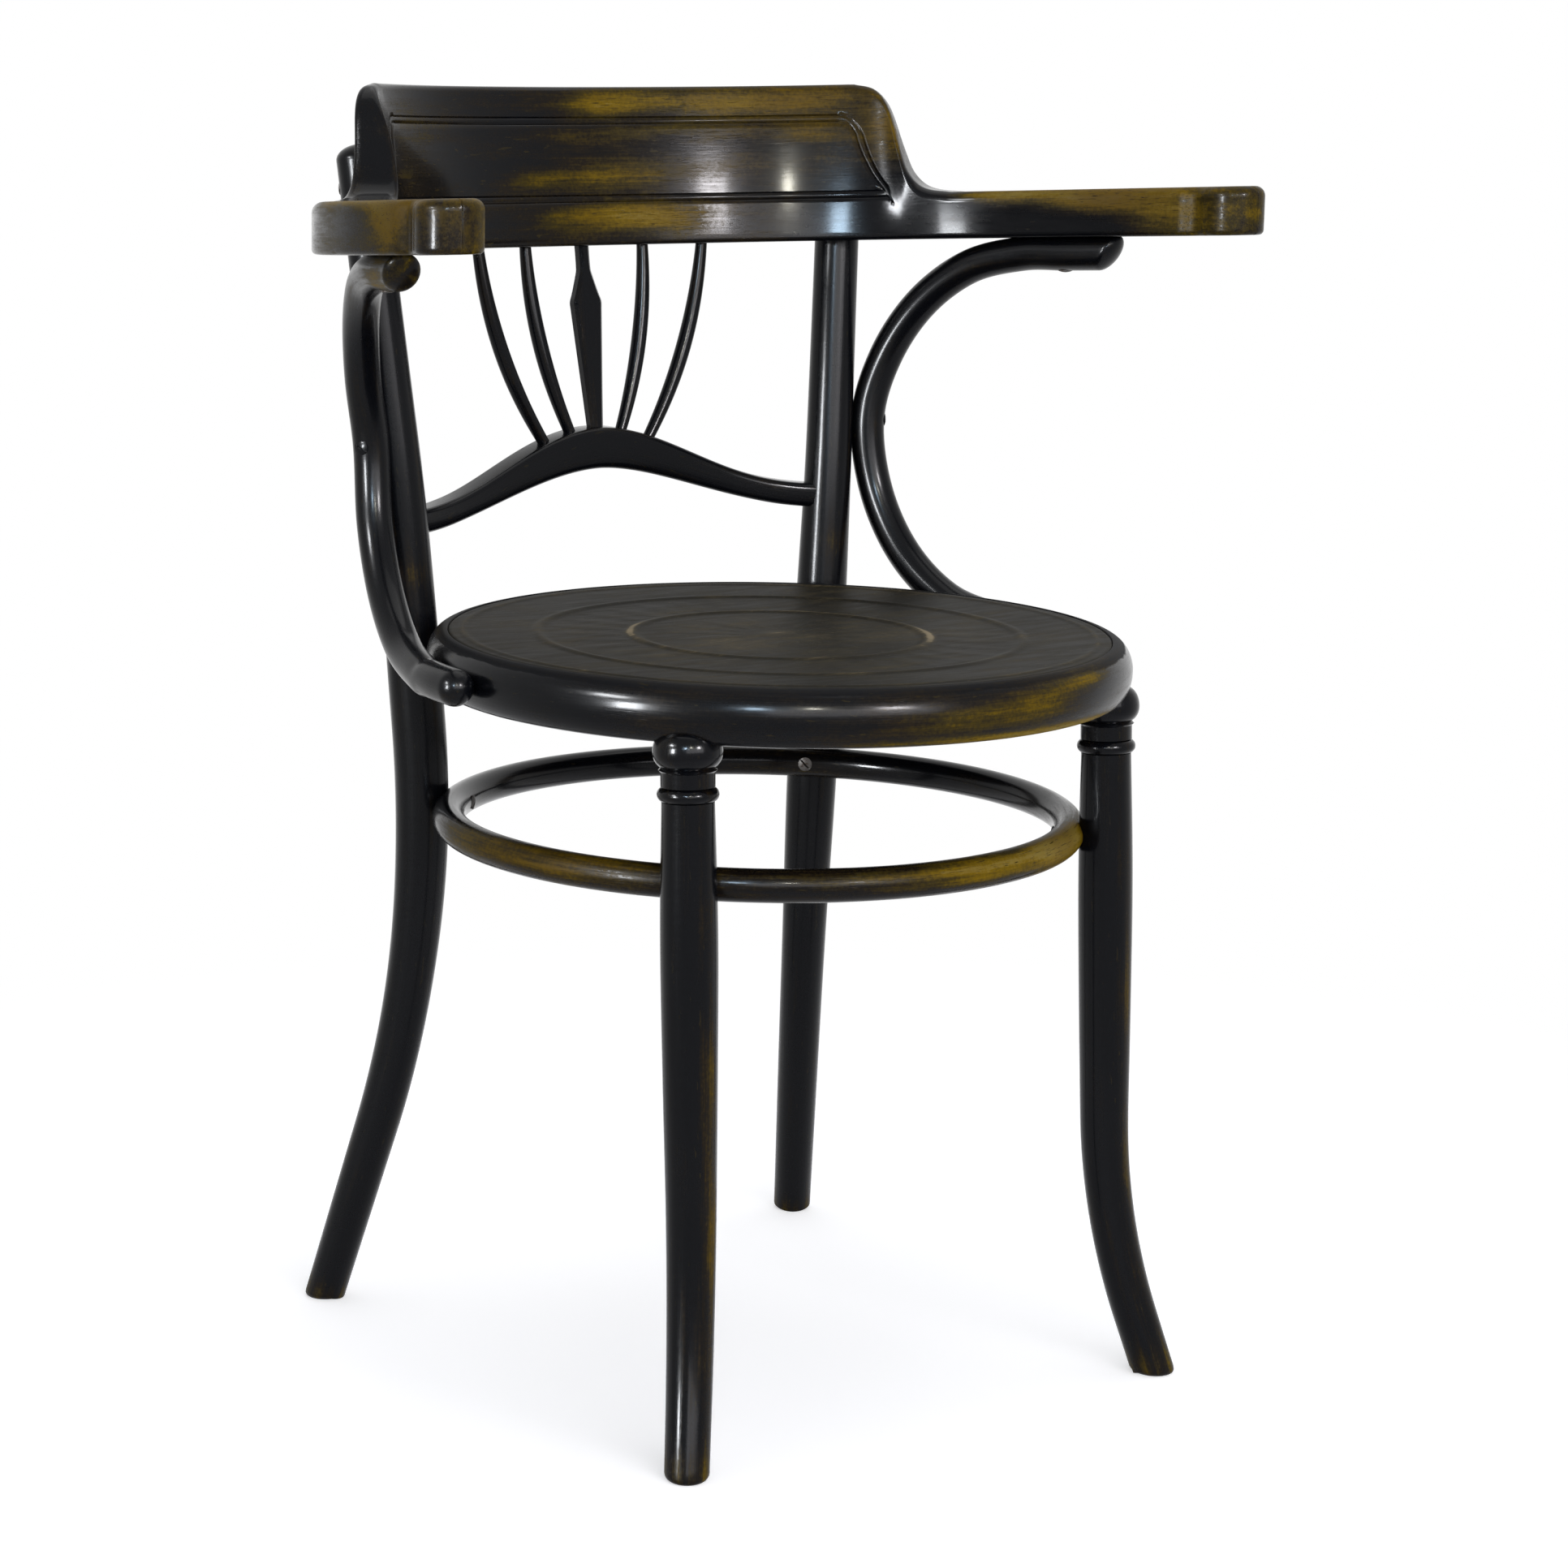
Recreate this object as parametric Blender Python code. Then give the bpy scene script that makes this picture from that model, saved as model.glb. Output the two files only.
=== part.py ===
"""Bentwood armchair with a round seat, in metres, +Z up.

The sitter faces -Y and +X is on the sitter's left. The origin lies on the floor, under the middle of
the chair's overall box. Each solid is one piece of wood or one fastener, as on a workbench.
"""

import functools
import math

import bmesh
import bpy
from mathutils import Matrix, Vector

# Clearance between pieces that touch
GAP = 0.0003

# Seat: a bent ring with a pressed plywood panel let into its top
SEAT_RADIUS = 0.2165
SEAT_HEIGHT = 0.458
SEAT_RING_DEPTH = 0.034
SEAT_RING_WIDTH = 0.037
SEAT_EDGE_ROUND = 0.011
SEAT_RIM = 0.013
PANEL_THICKNESS = 0.0045
PANEL_DISH = 0.0018
PANEL_FLAT_SHARE = 0.55
PANEL_RING_RADII = (0.0905, 0.1490)
PANEL_RING_WIDTH = 0.0100
PANEL_RING_RISE = 0.0010

# Front legs, each with a turned capital under the seat ring
FRONT_LEG_ANGLE = math.radians(50.6)
FRONT_LEG_INSET = 0.0155
FRONT_KNEE_HEIGHT = 0.098
FRONT_KNEE_BEND = 0.42
FRONT_KNEE_SET = (0.0006, -0.0157)
FRONT_FOOT_SET = (0.0217, -0.0446)
FRONT_LEG_DIAMETERS = (0.0264, 0.0280, 0.0300, 0.0324, 0.0336, 0.0306)
TENON_RADIUS = 0.010
TENON_LENGTH = 0.019
BEAD_RADIUS = 0.0180
BEAD_DROP = 0.0300
BEAD_HALF = 0.0043
NECK_RADIUS = 0.0158
NECK_TOP_DROP = 0.0165
NECK_FILLET = 0.0012
BULB_RADIUS = 0.0203
BULB_DROP = 0.0055
BULB_RISE = 0.0080

# Rear legs, which run on up as the stiles of the back
REAR_LEG_ANGLE = math.radians(42.4)
REAR_LEG_HOUSING = 0.0005
REAR_KNEE_HEIGHT = 0.250
REAR_KNEE_BEND = 0.71
REAR_KNEE_SET = (-0.0115, -0.0064)
REAR_FOOT_SET = (0.0313, 0.0592)
REAR_WAIST_HEIGHT = 0.530
REAR_WAIST_BEND = 1.2
REAR_WAIST_SET = (0.0078, 0.0062)
STILE_OVERLAP = 0.0670  # how far a stile runs up behind the crest rail
STILE_TOP_SET = (0.0268, 0.0274)
REAR_LEG_DIAMETERS = (0.0253, 0.0275, 0.0296, 0.0332, 0.0337, 0.0309, 0.0294, 0.0289)
STILE_DOME_RISE = 0.0090
FOOT_CHAMFER = 0.0040
FOOT_OVERRUN = 0.0150  # legs are made too long, then cut level at the floor

# Round stretcher, screwed into housings in the four legs
STRETCHER_HEIGHT = 0.3376
STRETCHER_RADIUS = 0.0100
STRETCHER_HOUSING = 0.0035

# Arm bow: the crest rail and both arms, bent from one plank
BACK_BEND = 0.300
BACK_TURN = math.radians(15.9)
SHOULDER_BEND = 0.2177
SHOULDER_TURN = math.radians(70.3)
ARM_BEND = 0.864
BOW_HALF_LENGTH = 0.447
BOW_HEIGHT = 0.6785
BOW_TILT = math.radians(4.0)
STILE_TOP_HEIGHT = BOW_HEIGHT + STILE_OVERLAP
CREST_HEIGHT = 0.102
CREST_BACK_RAKE = math.radians(7.0)
CREST_FRONT_RAKE = math.radians(11.0)
CREST_HALF_LENGTH = 0.177
CREST_DROP_LENGTH = 0.066
CREST_DROP_SHAPE = (
    (0.0, 1.0),
    (0.19, 0.945),
    (0.33, 0.78),
    (0.47, 0.42),
    (0.57, 0.19),
    (0.72, 0.05),
    (1.0, 0.0),
)
ARM_HEIGHT = 0.0305
ARM_HEAD_RADIUS = 0.0195
ARM_COVE = 0.0035
ARM_COVE_REACH = 0.020
ARM_WIDTHS = (0.0195, 0.0275, 0.0425, 0.0505, 0.0553, 0.0560, 0.0530, 0.0465, 0.0388)
CREST_TOP_ROUND = 0.0040
ARM_TOP_ROUND = 0.0065
BOW_UNDER_ROUND = 0.0030
BOW_HOUSING = 0.0015

# Cupid-bow rail between the stiles
RAIL_HEIGHT = 0.5135
RAIL_RISE = 0.0357
RAIL_BOW_BACK = 0.0335
RAIL_END_DEPTH = 0.0155
RAIL_CROWN_DEPTH = 0.0265
RAIL_END_WIDTH = 0.0180
RAIL_CROWN_WIDTH = 0.0220
RAIL_EDGE_ROUND = 0.0040
RAIL_LET_IN = 0.0090

# Spindles of the back: two bowed pairs
SPINDLE_TOPS = (0.0858, 0.0450)
SPINDLE_FEET = (0.0406, 0.0200)
SPINDLE_SAGS = (0.0079, 0.0060)
SPINDLE_END_RADIUS = 0.0038
SPINDLE_BELLY_RADIUS = 0.0050
DOWEL_LENGTH = 0.0085
SPINDLE_BACK_SHARE = 0.60

# Lance in the middle of the back
LANCE_STEM_WIDTH = 0.0080
LANCE_SHOULDER_WIDTH = 0.0212
LANCE_FOOT_WIDTH = 0.0095
LANCE_THICKNESS = 0.0090
LANCE_STEM_LENGTH = 0.0150
LANCE_SHOULDER_DROP = 0.0360
LANCE_STEP = 0.0050
LANCE_CHAMFER = 0.0020

# Arm supports: C-shaped rods from the arms past the stiles to the seat ring
SUPPORT_RADIUS = 0.0112
SUPPORT_CONTACT_HEIGHT = 0.563
SUPPORT_CONTACT_ANGLE = math.radians(26.0)
SUPPORT_SEAT_LIFT = -0.0010
SUPPORT_TIP_SET = 0.3545
SUPPORT_LEAVES_ARM = 0.2900
SUPPORT_ARM_BEND_REACH = 0.105
SUPPORT_INSET = 0.0160
SUPPORT_HOUSING = 0.0008
SUPPORT_END_ANGLE = math.radians(87.5)
SUPPORT_TIP_SLANT = 0.6

# Fasteners
SCREW_HEAD_RADIUS = 0.0046
SCREW_HEAD_HEIGHT = 0.0024
SCREW_HEAD_CROWN = 0.0010
SCREW_HEAD_EDGE = 0.0005
SCREW_SHANK_RADIUS = 0.0021
STRETCHER_SCREW_LENGTH = 0.030
SUPPORT_SCREW_LENGTH = 0.034
CREST_SCREW_LENGTH = 0.036
ARM_SCREW_LENGTH = 0.038
SEAT_SCREW_LENGTH = 0.047
BOLT_RADIUS = 0.0030
BOLT_HEAD_RADIUS = 0.0075
BOLT_HEAD_HEIGHT = 0.0035
BOLT_TAIL = 0.0085
WASHER_RADIUS = 0.0085
WASHER_THICKNESS = 0.0012
WASHER_LIFT = 0.0008  # a flat washer bridges the hollow of the ring's inner face
NUT_WIDTH = 0.0110
NUT_HEIGHT = 0.0050

# Facets round each kind of piece
LEG_SIDES = 12
ROD_SIDES = 10
SPINDLE_SIDES = 8
RING_STEPS = 54
SCREW_SIDES = 6

RIGHT = -1
LEFT = 1
UP = Vector((0.0, 0.0, 1.0))
SIDE_NAMES = {RIGHT: "right", LEFT: "left"}
FRAME_NAME = "chair"

SEAT_UNDERSIDE = SEAT_HEIGHT - SEAT_RING_DEPTH
SEAT_MIDDLE = SEAT_HEIGHT - SEAT_RING_DEPTH / 2


def clear_scene():
    for thing in list(bpy.data.objects):
        bpy.data.objects.remove(thing, do_unlink=True)


def wood(name, colour, roughness):
    material = bpy.data.materials.new(name)
    material.use_nodes = True
    shader = material.node_tree.nodes["Principled BSDF"]
    shader.inputs["Base Color"].default_value = (*colour, 1.0)
    shader.inputs["Roughness"].default_value = roughness
    return material


def metal(name, colour, roughness):
    material = wood(name, colour, roughness)
    material.node_tree.nodes["Principled BSDF"].inputs["Metallic"].default_value = 1.0
    return material


def put(name, mesh, material=None, smooth=40.0):
    """A finished piece, carried by the chair's empty."""
    body = bpy.data.objects.new(name, mesh)
    bpy.context.scene.collection.objects.link(body)
    body.parent = bpy.data.objects[FRAME_NAME]
    mesh.shade_smooth()
    mesh.set_sharp_from_angle(angle=math.radians(smooth))
    if material:
        mesh.materials.append(material)
    return body


def to_mesh(name, shape):
    bmesh.ops.recalc_face_normals(shape, faces=shape.faces[:])
    mesh = bpy.data.meshes.new(name)
    shape.to_mesh(mesh)
    shape.free()
    return mesh


def combine(body, mesh, operation="DIFFERENCE"):
    """Cuts a closed mesh out of a piece, or joins it on, and keeps the tool as a hidden guide."""
    tool = put(f"{body.name}_{operation.lower()}_{len(body.modifiers)}", mesh)
    tool.hide_render = True
    tool.display_type = "WIRE"
    step = body.modifiers.new(f"{operation.title()} {len(body.modifiers)}", "BOOLEAN")
    step.operation = operation
    step.solver = "EXACT"
    step.object = tool


def ease(share):
    """0 to 1 with level ends."""
    share = min(max(share, 0.0), 1.0)
    return share * share * (3 - 2 * share)


def along(stations, place):
    """A smooth value at a place, through (place, value) stations in rising order."""
    last = len(stations) - 2
    index = 0
    while index < last and place > stations[index + 1][0]:
        index += 1
    slopes = []
    for near in (index, index + 1):
        before = stations[max(near - 1, 0)]
        after = stations[min(near + 1, last + 1)]
        slopes.append((after[1] - before[1]) / (after[0] - before[0]))
    (start, low), (end, high) = stations[index], stations[index + 1]
    span = end - start
    t = min(max((place - start) / span, 0.0), 1.0)
    rise = (2 * t**3 - 3 * t**2 + 1) * low + (3 * t**2 - 2 * t**3) * high
    return rise + span * ((t**3 - 2 * t**2 + t) * slopes[0] + (t**3 - t**2) * slopes[1])


class Path:
    """A line of points, measured along its length; past its ends it runs straight on."""

    def __init__(self, points):
        self.points = points
        self.marks = [0.0]
        for start, end in zip(points, points[1:]):
            self.marks.append(self.marks[-1] + (end - start).length)
        self.length = self.marks[-1]

    def at(self, distance):
        index = 0
        while index < len(self.points) - 2 and distance > self.marks[index + 1]:
            index += 1
        start, end = self.points[index], self.points[index + 1]
        share = (distance - self.marks[index]) / (self.marks[index + 1] - self.marks[index])
        return start + (end - start) * share

    def heading(self, distance):
        reach = self.length / 200
        return (self.at(distance + reach) - self.at(distance - reach)).normalized()

    def at_height(self, height):
        """The point of a rising path at a height above the floor, and its distance along."""
        low, high = 0.0, self.length
        for _ in range(40):
            middle = (low + high) / 2
            if self.at(middle).z < height:
                low = middle
            else:
                high = middle
        return self.at(low), low


def smooth_line(points, steps=4):
    """A line through the points, rounded between them."""
    line = []
    for index in range(len(points) - 1):
        before = points[max(index - 1, 0)]
        start, end = points[index], points[index + 1]
        after = points[min(index + 2, len(points) - 1)]
        for step in range(steps):
            t = step / steps
            line.append(
                0.5
                * (
                    2 * start
                    + (end - before) * t
                    + (2 * before - 5 * start + 4 * end - after) * t**2
                    + (3 * start - before - 3 * end + after) * t**3
                )
            )
    return line + [points[-1]]


def bent_line(corners, bends, steps=10):
    """Straight runs joined by arcs, as a rod is bent: one bend radius for each inner corner."""
    line = [corners[0]]
    for before, corner, after, bend in zip(corners, corners[1:], corners[2:], bends):
        back = (before - corner).normalized()
        on = (after - corner).normalized()
        half = back.angle(on) / 2
        room = 0.9 * min((before - corner).length, (after - corner).length)
        bend = min(bend, room * math.tan(half))
        centre = corner + (back + on).normalized() * (bend / math.sin(half))
        first = (corner + back * (bend / math.tan(half)) - centre).normalized()
        last = (corner + on * (bend / math.tan(half)) - centre).normalized()
        line += [centre + bend * first.slerp(last, step / steps) for step in range(steps + 1)]
    return line + [corners[-1]]


def quarter(start, corner, end, steps=4):
    """A quarter of an ellipse from start to end, level with the corner's two sides."""
    turns = [math.pi / 2 * step / steps for step in range(steps + 1)]
    return [
        corner + (start - corner) * (1 - math.sin(turn)) + (end - corner) * (1 - math.cos(turn))
        for turn in turns
    ]


def loft(rings):
    """A closed skin over rings of as many points each, with flat ends."""
    shape = bmesh.new()
    loops = [[shape.verts.new(point) for point in ring] for ring in rings]
    for ring, after in zip(loops, loops[1:]):
        for index in range(len(ring)):
            shape.faces.new((ring[index - 1], ring[index], after[index], after[index - 1]))
    shape.faces.new(loops[0])
    shape.faces.new(reversed(loops[-1]))
    return shape


def frame_at(path, distance, side):
    heading = path.heading(distance)
    across = (side - heading * side.dot(heading)).normalized()
    return path.at(distance), across, heading.cross(across)


def rod(path, stations, side, sides):
    """A round rod along a path, from (distance, radius) stations."""
    rings = []
    for distance, radius in stations:
        centre, across, over = frame_at(path, distance, side)
        turns = [2 * math.pi * step / sides for step in range(sides)]
        rings.append(
            [centre + radius * (across * math.cos(t) + over * math.sin(t)) for t in turns]
        )
    return loft(rings)


def dome(distance, radius, rise, sign):
    """Stations that round off a rod's end, outwards from a distance."""
    turns = [math.radians(degrees) for degrees in (25, 50, 70, 84)]
    stations = [(distance + sign * rise * math.sin(t), radius * math.cos(t)) for t in turns]
    return stations if sign > 0 else stations[::-1]


def spin(profile, steps, centre=(0.0, 0.0, 0.0)):
    """A closed turned shape from (radius, height) points, about a vertical axis."""
    shape = bmesh.new()
    points = [shape.verts.new((radius, 0.0, height)) for radius, height in profile]
    closed = all(radius > 1e-6 for radius, height in profile)
    edges = [shape.edges.new(pair) for pair in zip(points, points[1:])]
    if closed:
        edges.append(shape.edges.new((points[-1], points[0])))
    bmesh.ops.spin(
        shape,
        geom=points + edges,
        axis=UP,
        angle=2 * math.pi,
        steps=steps,
        use_merge=True,
    )
    bmesh.ops.remove_doubles(shape, verts=shape.verts[:], dist=1e-5)
    bmesh.ops.translate(shape, verts=shape.verts[:], vec=centre)
    return shape


def stand_on_floor(shape):
    """Cuts a leg level at the floor and eases the edge of its foot."""
    cut = bmesh.ops.bisect_plane(
        shape,
        geom=shape.verts[:] + shape.edges[:] + shape.faces[:],
        plane_co=(0.0, 0.0, 0.0),
        plane_no=UP,
        clear_inner=True,
    )
    rim = [item for item in cut["geom_cut"] if isinstance(item, bmesh.types.BMEdge)]
    bmesh.ops.edgeloop_fill(shape, edges=rim)
    bmesh.ops.bevel(
        shape, geom=rim, offset=FOOT_CHAMFER, segments=2, profile=0.5, affect="EDGES", material=-1
    )


# Seat


def seat_ring_shape(swell=0.0):
    outer = SEAT_RADIUS + swell
    inner = SEAT_RADIUS - SEAT_RING_WIDTH - swell
    top = SEAT_HEIGHT + swell
    under = SEAT_UNDERSIDE - swell
    lip = SEAT_RADIUS - SEAT_RIM
    ledge = SEAT_HEIGHT - PANEL_THICKNESS - GAP
    turns = [math.radians(degrees) for degrees in (0, 30, 60, 90)]
    edge = SEAT_EDGE_ROUND
    profile = [(lip, top)]
    for t in turns:
        profile.append((outer - edge + edge * math.sin(t), top - edge + edge * math.cos(t)))
    for t in turns:
        profile.append((outer - edge + edge * math.cos(t), under + edge - edge * math.sin(t)))
    profile += [(inner, under), (inner, ledge), (lip, ledge)]
    return spin(profile, RING_STEPS)


def seat_panel_top(radius):
    """Height of the dished panel, without its pressed rings."""
    edge = SEAT_RADIUS - SEAT_RIM - GAP
    flat = edge * PANEL_FLAT_SHARE
    return SEAT_HEIGHT - GAP - PANEL_DISH * (1 - ease((radius - flat) / (edge - flat)))


def seat_panel_shape():
    edge = SEAT_RADIUS - SEAT_RIM - GAP
    floor = SEAT_HEIGHT - PANEL_THICKNESS
    half = PANEL_RING_WIDTH / 2
    profile = [(0.0, seat_panel_top(0.0))]
    for ring in PANEL_RING_RADII:
        for radius, lift in ((ring - half, 0.0), (ring, PANEL_RING_RISE), (ring + half, 0.0)):
            profile.append((radius, seat_panel_top(radius) + lift))
    last = profile[-1][0]
    for share in (0.4, 0.7, 1.0):
        radius = last + (edge - last) * share
        profile.append((radius, seat_panel_top(radius)))
    profile += [(edge, floor), (0.0, floor)]
    return spin(profile, RING_STEPS)


# Legs


@functools.cache
def front_leg_path(side):
    reach = SEAT_RADIUS - FRONT_LEG_INSET
    top = Vector(
        (
            side * reach * math.sin(FRONT_LEG_ANGLE),
            -reach * math.cos(FRONT_LEG_ANGLE),
            SEAT_UNDERSIDE,
        )
    )
    knee = Vector((top.x + side * FRONT_KNEE_SET[0], top.y + FRONT_KNEE_SET[1], FRONT_KNEE_HEIGHT))
    foot = Vector((top.x + side * FRONT_FOOT_SET[0], top.y + FRONT_FOOT_SET[1], 0.0))
    return Path(bent_line([foot, knee, top], [FRONT_KNEE_BEND]))


def front_leg_radius(height):
    spacing = (SEAT_UNDERSIDE - BEAD_DROP) / (len(FRONT_LEG_DIAMETERS) - 1)
    stations = [(index * spacing, size / 2) for index, size in enumerate(FRONT_LEG_DIAMETERS)]
    return along(stations, height)


def front_leg_stations(path):
    """(distance, radius) from below the floor up to the dome of the capital."""
    top = path.length
    shaft = top - BEAD_DROP - BEAD_HALF
    count = 13
    stations = [(-FOOT_OVERRUN, front_leg_radius(0.0))]
    for index in range(1, count + 1):
        distance = shaft * index / count
        stations.append((distance, front_leg_radius(path.at(distance).z)))
    for degrees in (-60, -25, 25, 60):
        turn = math.radians(degrees)
        radius = BEAD_RADIUS - BEAD_HALF * (1 - math.cos(turn))
        stations.append((top - BEAD_DROP + BEAD_HALF * math.sin(turn), radius))
    stations += [
        (top - BEAD_DROP + BEAD_HALF, NECK_RADIUS),
        (top - NECK_TOP_DROP, NECK_RADIUS),
        (top - NECK_TOP_DROP + NECK_FILLET / 2, NECK_RADIUS + NECK_FILLET),
    ]
    for degrees in (-50, -25, 0, 25, 50, 75):
        turn = math.radians(degrees)
        lift = BULB_RISE + BULB_DROP if degrees > 0 else NECK_TOP_DROP - BULB_DROP
        stations.append((top - BULB_DROP + lift * math.sin(turn), BULB_RADIUS * math.cos(turn) ** 0.5))
    return stations


def front_leg_tenon(path, swell=0.0):
    stations = [
        (path.length - BULB_DROP, TENON_RADIUS + swell),
        (path.length + TENON_LENGTH + swell, TENON_RADIUS + swell),
    ]
    return rod(path, stations, Vector((1.0, 0.0, 0.0)), ROD_SIDES)


def rear_leg_radius(height):
    spacing = STILE_TOP_HEIGHT / (len(REAR_LEG_DIAMETERS) - 1)
    stations = [(index * spacing, size / 2) for index, size in enumerate(REAR_LEG_DIAMETERS)]
    return along(stations, height)


def rear_leg_seat_point(side):
    reach = SEAT_RADIUS + rear_leg_radius(SEAT_MIDDLE) - REAR_LEG_HOUSING
    return Vector(
        (side * reach * math.sin(REAR_LEG_ANGLE), reach * math.cos(REAR_LEG_ANGLE), SEAT_MIDDLE)
    )


@functools.cache
def rear_leg_path(side):
    seat = rear_leg_seat_point(side)

    def near(offset, height):
        return Vector((seat.x + side * offset[0], seat.y + offset[1], height))

    corners = [
        near(REAR_FOOT_SET, 0.0),
        near(REAR_KNEE_SET, REAR_KNEE_HEIGHT),
        near(REAR_WAIST_SET, REAR_WAIST_HEIGHT),
        near(STILE_TOP_SET, STILE_TOP_HEIGHT),
    ]
    return Path(bent_line(corners, [REAR_KNEE_BEND, REAR_WAIST_BEND]))


def rear_leg_stations(path):
    count = 22
    crown = path.length - STILE_DOME_RISE
    stations = [(-FOOT_OVERRUN, rear_leg_radius(0.0))]
    for index in range(1, count + 1):
        distance = crown * index / count
        stations.append((distance, rear_leg_radius(path.at(distance).z)))
    return stations + dome(crown, stations[-1][1], STILE_DOME_RISE, 1)


# Round stretcher


def stretcher_ring():
    """(radius, centre y) of the ring that lies in the housings of all four legs."""
    reaches = []
    legs = ((front_leg_path(LEFT), front_leg_radius), (rear_leg_path(LEFT), rear_leg_radius))
    for path, radius_at in legs:
        point = path.at_height(STRETCHER_HEIGHT)[0]
        reaches.append((point, radius_at(STRETCHER_HEIGHT) + STRETCHER_RADIUS - STRETCHER_HOUSING))
    low, high = -SEAT_RADIUS, SEAT_RADIUS
    for _ in range(50):
        middle = (low + high) / 2
        front, rear = (math.hypot(point.x, point.y - middle) - reach for point, reach in reaches)
        if front < rear:
            low = middle
        else:
            high = middle
    return front, middle


def stretcher_shape(swell=0.0):
    radius, middle = stretcher_ring()
    turns = [2 * math.pi * step / ROD_SIDES for step in range(ROD_SIDES)]
    size = STRETCHER_RADIUS + swell
    profile = [(radius + size * math.cos(t), size * math.sin(t)) for t in turns]
    return spin(profile, RING_STEPS, (0.0, middle, STRETCHER_HEIGHT))


# Arm bow


def bow_place(distance):
    """The bow's inner face at a distance from its middle: x, y and turn, with its middle at y = 0."""
    x, y, turn = 0.0, 0.0, 0.0
    for bend, limit in ((BACK_BEND, BACK_TURN), (SHOULDER_BEND, SHOULDER_TURN), (ARM_BEND, math.pi)):
        run = min(distance, bend * (limit - turn))
        after = turn + run / bend
        x += bend * (math.sin(after) - math.sin(turn))
        y += bend * (math.cos(after) - math.cos(turn))
        distance -= run
        turn = after
        if distance <= 0.0:
            break
    return x, y, turn


def bow_width(distance):
    spacing = (BOW_HALF_LENGTH - ARM_COVE_REACH - CREST_HALF_LENGTH) / (len(ARM_WIDTHS) - 1)
    stations = [(CREST_HALF_LENGTH + index * spacing, size) for index, size in enumerate(ARM_WIDTHS)]
    return along(stations, max(distance, CREST_HALF_LENGTH))


def crest_share(distance):
    """1 along the crest rail, 0 along the arm."""
    return along(CREST_DROP_SHAPE, (distance - CREST_HALF_LENGTH) / CREST_DROP_LENGTH)


def bow_side(distance):
    """Left half of the bow: inner point, outward and forward directions in plan."""
    x, y, turn = bow_place(distance)
    point = Vector((x, y + bow_middle_y(), 0.0))
    outward = Vector((math.sin(turn), math.cos(turn), 0.0))
    forward = Vector((math.cos(turn), -math.sin(turn), 0.0))
    return point, outward, forward


@functools.cache
def bow_middle_y():
    """How far back the crest's middle lies, so that its back rests in the stiles."""
    height = BOW_HEIGHT + CREST_HEIGHT / 2
    stile = rear_leg_path(LEFT).at_height(height)[0]
    wanted = rear_leg_radius(height) - BOW_HOUSING
    shift = bow_width(0.0) + CREST_HEIGHT / 2 * math.tan(CREST_BACK_RAKE)
    low, high = -SEAT_RADIUS, 2 * SEAT_RADIUS
    for _ in range(40):
        middle = (low + high) / 2
        nearest = SEAT_RADIUS
        for step in range(80):
            x, y, turn = bow_place(CREST_HALF_LENGTH * step / 60)
            back = (x + shift * math.sin(turn), y + shift * math.cos(turn) + middle)
            nearest = min(nearest, math.hypot(back[0] - stile.x, back[1] - stile.y))
            if back[1] > stile.y and back[0] > stile.x:
                nearest = 0.0
        if nearest > wanted:
            low = middle
        else:
            high = middle
    return middle


def bow_floor(y):
    """Height of the bow's level underside, which rises towards the front."""
    return BOW_HEIGHT + math.tan(BOW_TILT) * (bow_middle_y() - y)


def bow_wall(base, out, outward, height, rake, rounds, swell):
    """Points up one face of the bow: underside round, face and top round."""
    top_round, under_round = rounds
    places = []
    for degrees in (0, 45, 90):
        t = math.radians(degrees)
        places.append((under_round * (1 - math.sin(t)), under_round * (1 - math.cos(t))))
    for degrees in (0, 30, 60, 90):
        t = math.radians(degrees)
        places.append((top_round * (1 - math.cos(t)), height - top_round * (1 - math.sin(t))))
    points = []
    for inset, rise in places:
        rise += 2 * swell if rise > height / 2 else 0.0
        point = base + out * (swell - inset) + outward * rise * math.tan(rake)
        point.z = bow_floor(point.y) - swell + rise
        points.append(point)
    return points


def bow_ring(inner, inner_out, outer, outer_out, outward, distance, swell):
    share = crest_share(distance)
    height = ARM_HEIGHT + (CREST_HEIGHT - ARM_HEIGHT) * share
    rounds = (ARM_TOP_ROUND + (CREST_TOP_ROUND - ARM_TOP_ROUND) * share, BOW_UNDER_ROUND)
    front = bow_wall(inner, inner_out, outward, height, CREST_FRONT_RAKE * share, rounds, swell)
    back = bow_wall(outer, outer_out, outward, height, CREST_BACK_RAKE * share, rounds, swell)
    return front + back[::-1]


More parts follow.
